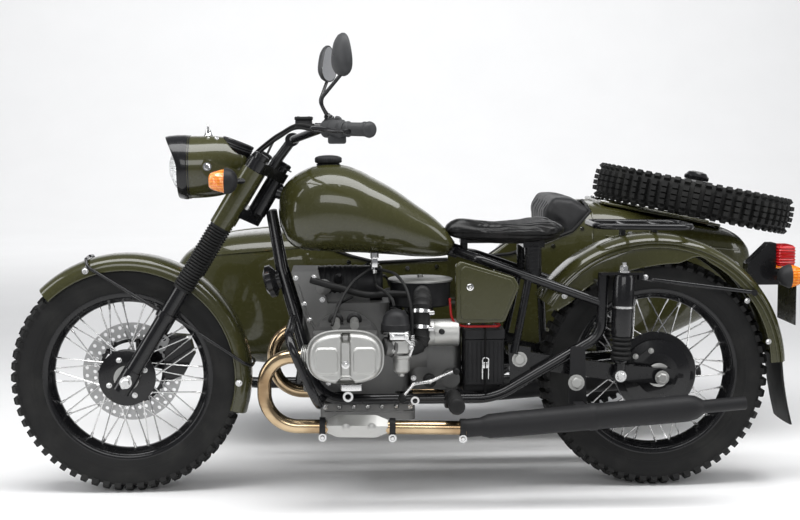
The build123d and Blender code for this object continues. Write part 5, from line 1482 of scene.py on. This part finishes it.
def side_lamp(part):
    """Marker lamp on the sidecar's fender: amber dome ahead, or its black rear shell and stalk."""
    centre = (1374, 1150, 752)
    if part == "lens":
        step = np.linspace(-23, -2, 30)
        return lathe(np.stack([step, 8 + 11 * np.sqrt((step + 23) / 21) + 0.4 * np.sin(step * 1.7)], -1),
                     centre, BACK, 36)
    return join(lathe([(-4, 19), (-4, 20.5), (6, 20.5), (18, 16), (24, 8), (24, 2)], centre, BACK, 36),
                rods([(1372, 1150, 710)], [(1372, 1150, 738)], 9, 18))


piece("sidecar_tub", tub(), OLIVE, ["sidecar_body"], sharp=60, wall=8)
piece("sidecar_coaming", coaming_trim(), RUBBER)
piece("sidecar_snaps", snaps(), CHROME)
piece("sidecar_waist_bead", waist_bead(), OLIVE)
piece("sidecar_bulkhead", bulkhead(), OLIVE)
piece("trunk_lid_panel", trunk_panel(), OLIVE, ["trunk_lid"], body="lid")
piece("spare_carrier", spare_mount(), BLACK, body="lid")
piece("trunk_lid_hinges", lid_fittings(), STEEL, body="lid")
piece("sidecar_lamp_lens", side_lamp("lens"), AMBER, ["sidecar_lamp"], sharp=60)
piece("sidecar_lamp_shell", side_lamp("shell"), BLACK)


# Saddle and seat, padded
SADDLE_ROWS = [(902, 752, 742, 14), (908, 762, 736, 26), (922, 769, 730, 36), (950, 771, 724, 46),
               (1000, 766, 717, 74), (1060, 760, 711, 116), (1124, 761, 710, 150), (1170, 766, 712, 158),
               (1204, 768, 716, 152), (1230, 763, 724, 124), (1242, 752, 732, 90), (1246, 745, 738, 50)]
FAN_STEP = 6.5


def saddle_form():
    """Saddle: superellipse sections along X, top, bottom and half width from the
    table, the rear dished up at its sides."""
    rows = np.asarray(SADDLE_ROWS, float)
    x = np.linspace(902, 1246, 80)
    top, bottom, half_width = smooth(x, rows[:, 0], rows[:, 1:]).T[..., None]
    turn = ring_angles(90)
    y = bulge(np.cos(turn), 2 / 2.6)
    z = bulge(np.sin(turn), 2 / 3.0)
    rear = 9 * y ** 2 * ramp(x[:, None] - 1040, 120)
    front = 8 * y ** 2 * ramp(1080 - x[:, None], 120)
    height = (top + bottom) / 2 + (top - bottom) / 2 * z + (rear - front)
    points = np.stack(np.broadcast_arrays(x[:, None], half_width * y, height), -1)
    return grid(points, loop_v=True)


def saddle_sewing(points):
    """Channels that fan out over the saddle's rear from its nose, and one seam round its edge."""
    x, y, z = points.T
    fan = np.degrees(np.arctan2(y, x - 860))
    groove = np.exp(-((fan - np.round(fan / FAN_STEP) * FAN_STEP) / 0.9) ** 2)
    rays = groove * ramp(x - 985, 30) * ramp(1222 - x, 14)
    return 8 * rays * ramp(z - 742, 8) + 4.5 * np.exp(-((z - 733) / 3.5) ** 2)


def pillow(outline, y_from, y_to, soft):
    """Upholstered block from an outline in X and Z: drawn in along a quarter circle at both ends."""
    outline = np.asarray(outline, float)
    centre = outline.mean(0)
    swing = np.linspace(0, np.pi / 2, 7)
    inset = np.r_[soft * (1 - np.sin(swing)), soft * (1 - np.cos(swing))]
    level = np.r_[y_from + soft * (1 - np.cos(swing)), y_to - soft * (1 - np.sin(swing))]
    flat = outline[None] - inset[:, None, None] * unit(outline - centre)[None]
    depth = np.broadcast_to(level[:, None, None], (*flat.shape[:2], 1))
    return grid(np.concatenate([flat[..., :1], depth, flat[..., 1:]], -1), loop_v=True)


BACKREST = [(1296, 458), (1392, 458), (1404, 700), (1404, 778), (1346, 810), (1284, 818), (1266, 780),
            (1270, 700)]
CUSHION = [(908, 352), (914, 336), (1256, 336), (1262, 420), (1246, 440), (930, 440), (912, 426)]
CHANNEL_PITCH = 54
SEAT_SPAN = (SIDECAR_Y - 206, SIDECAR_Y + 206)


def channels(y):
    """Sewn channels at an even pitch across the seat, none near its sides."""
    pitch = (y - SIDECAR_Y) / CHANNEL_PITCH
    return 6 * np.exp(-((pitch - np.round(pitch)) / 0.07) ** 2) * (abs(y - SIDECAR_Y) < 170)


def backrest_sewing(points):
    """Upright channels on the backrest's front."""
    x, y, z = points.T
    return channels(y) * (x < 1330) * (z < 790)


def cushion_sewing(points):
    """Channels fore and aft on the cushion's top."""
    x, y, z = points.T
    return channels(y) * (z > 410)


def corners_of(made):
    """All points of an object's mesh as one array."""
    flat = np.empty(len(made.data.vertices) * 3)
    made.data.vertices.foreach_get("co", flat)
    return flat.reshape(-1, 3)


def settle(made):
    """Apply what the object's modifiers give now to its mesh."""
    graph = bpy.context.evaluated_depsgraph_get()
    made.data = bpy.data.meshes.new_from_object(made.evaluated_get(graph))
    made.modifiers.clear()


def stuffed(name, shape, finish, replaces, sewing, cap):
    """Padded piece: the form is remeshed in even cells and blown out as cloth under
    pressure, its movement capped; then the sewn channels press it in along its normals,
    and one subdivision smooths it."""
    made = piece(name, shape, finish, replaces, sharp=180)
    cells = made.modifiers.new("cells", "REMESH")
    cells.voxel_size = 6 * MM
    settle(made)
    rest = corners_of(made)
    cover = made.modifiers.new("cover", "CLOTH")
    cover.settings.use_pressure = True
    cover.settings.uniform_pressure_force = 4
    cover.settings.effector_weights.gravity = 0
    for moment in range(1, 21):
        bpy.context.scene.frame_set(moment)
    settle(made)
    bpy.context.scene.frame_set(1)
    shift = corners_of(made) - rest
    length = np.linalg.norm(shift, axis=1, keepdims=True)
    swollen = rest + shift * np.minimum(1, cap * MM / np.maximum(length, 1e-9))
    normals = np.empty(len(rest) * 3)
    made.data.vertices.foreach_set("co", swollen.ravel())
    made.data.update()
    made.data.vertex_normals.foreach_get("vector", normals)
    press = sewing((swollen - DATUM) / MM)[:, None] * MM
    made.data.vertices.foreach_set("co", (swollen - normals.reshape(-1, 3) * press).ravel())
    made.data.update()
    made.data.shade_smooth()
    smoother = made.modifiers.new("smoother", "SUBSURF")
    smoother.levels = smoother.render_levels = 1


def saddle_frame():
    """Springs under the saddle: two coils between the frame tube and the seat pan."""
    turn = np.linspace(0, 12 * np.pi, 220)
    coil = np.stack([1150 + 20 * np.cos(turn), -92 + 20 * np.sin(turn), 634 + 66 * turn / turn[-1]], -1)
    return both(carry(coil, 4.2, 10))


stuffed("rider_saddle_cover", saddle_form(), LEATHER, ["rider_saddle"], saddle_sewing, 5)
stuffed("sidecar_cushion", pillow(rounded(CUSHION, 14, 6), *SEAT_SPAN, 24), VINYL, ["sidecar_seat"],
        cushion_sewing, 10)
stuffed("sidecar_backrest", pillow(rounded(BACKREST, 22, 6), *SEAT_SPAN, 24), VINYL, [], backrest_sewing, 8)
piece("saddle_springs", saddle_frame(), BLACK)
piece("sidecar_seat_base", brick((930, 1320), (475, 835), (282, 338), 4, 24, 14), PLASTIC)


# Stage, light and camera
CAMERA = {"place": (620, -4139, 1050), "yaw": 2.19, "pitch": -5.42, "roll": -0.21, "focal_px": 1449}
FRAME_WIDTH_PX = 800
SENSOR_MM = 36


def studio_finish():
    """Pale matt floor paper, a touch cloudy."""
    made = Finish("floor_paper", "", Roughness=0.9)
    return made.surface(made.tint(made.noise(2, 3), (0.86, 0.86, 0.86), (0.90, 0.90, 0.90)))


def backdrop():
    """Sheet that runs flat under the object and curves up behind it: flat, a
    quarter circle, then upright."""
    swing = np.linspace(0, np.pi / 2, 12)
    depth = np.r_[-14000, 9500 + 4000 * np.sin(swing), 13500]
    height = np.r_[-0.5, -0.5 + 4000 * (1 - np.cos(swing)), 10000]
    across = np.linspace(-15000, 17000, 12)
    points = np.stack(np.broadcast_arrays(across[:, None], depth, height), -1)
    shape = grid(points, flip=True)
    made = bpy.data.objects.new("backdrop", bpy.data.meshes.new("backdrop"))
    made.data.from_pydata((shape[0] * MM + DATUM).tolist(), [], shape[1][0].tolist())
    made.data.shade_smooth()
    made.data.materials.append(studio_finish().material)
    bpy.context.scene.collection.objects.link(made)


def softbox(name, place, aim, size, power):
    """Rectangular soft light at a place, turned to its aim."""
    light = bpy.data.lights.new(name, "AREA")
    light.shape = "RECTANGLE"
    light.size, light.size_y, light.energy = size[0] * MM, size[1] * MM, power
    made = bpy.data.objects.new(name, light)
    back = unit(np.subtract(place, aim))
    right = unit(np.cross(UP if abs(back[2]) < 0.98 else RIGHT, back))
    made.matrix_world = Matrix.Translation(np.asarray(place) * MM + DATUM) @ Matrix(
        np.stack([right, np.cross(back, right), back], -1)).to_4x4()
    bpy.context.scene.collection.objects.link(made)


def camera():
    """Camera at the fitted place: forward from yaw and pitch, then rolled about it."""
    yaw, pitch, roll = np.radians([CAMERA["yaw"], CAMERA["pitch"], CAMERA["roll"]])
    forward = np.array([np.sin(yaw) * np.cos(pitch), np.cos(yaw) * np.cos(pitch), np.sin(pitch)])
    level = np.array([np.cos(yaw), -np.sin(yaw), 0])
    rise = np.cross(level, forward)
    right, up = np.cos(roll) * level + np.sin(roll) * rise, np.cos(roll) * rise - np.sin(roll) * level
    data = bpy.data.cameras.new("camera")
    data.sensor_width = SENSOR_MM
    data.lens = CAMERA["focal_px"] * SENSOR_MM / FRAME_WIDTH_PX
    made = bpy.data.objects.new("camera", data)
    made.matrix_world = Matrix.Translation(np.asarray(CAMERA["place"]) * MM + DATUM) @ Matrix(
        np.stack([right, up, -forward], -1)).to_4x4()
    bpy.context.scene.collection.objects.link(made)
    bpy.context.scene.camera = made


backdrop()
camera()
softbox("overhead", (900, -600, 3300), (850, 100, 600), (5200, 1500), 165)
softbox("front_wash", (200, -5200, 2600), (800, 0, 500), (3600, 1600), 70)
softbox("backdrop_wash", (900, 6500, 6500), (900, 12500, 1500), (14000, 1500), 640)
softbox("left_edge", (-3000, -600, 1900), (300, 0, 600), (1200, 2600), 40)
softbox("right_edge", (4600, -900, 1900), (1500, 0, 600), (1200, 2600), 34)
world = bpy.data.worlds.new("studio")
world.use_nodes = True
world.node_tree.nodes["Background"].inputs["Color"].default_value = (0.93, 0.95, 1.0, 1)
world.node_tree.nodes["Background"].inputs["Strength"].default_value = 0.24
bpy.context.scene.world = world
bpy.context.scene.view_settings.view_transform = "Standard"
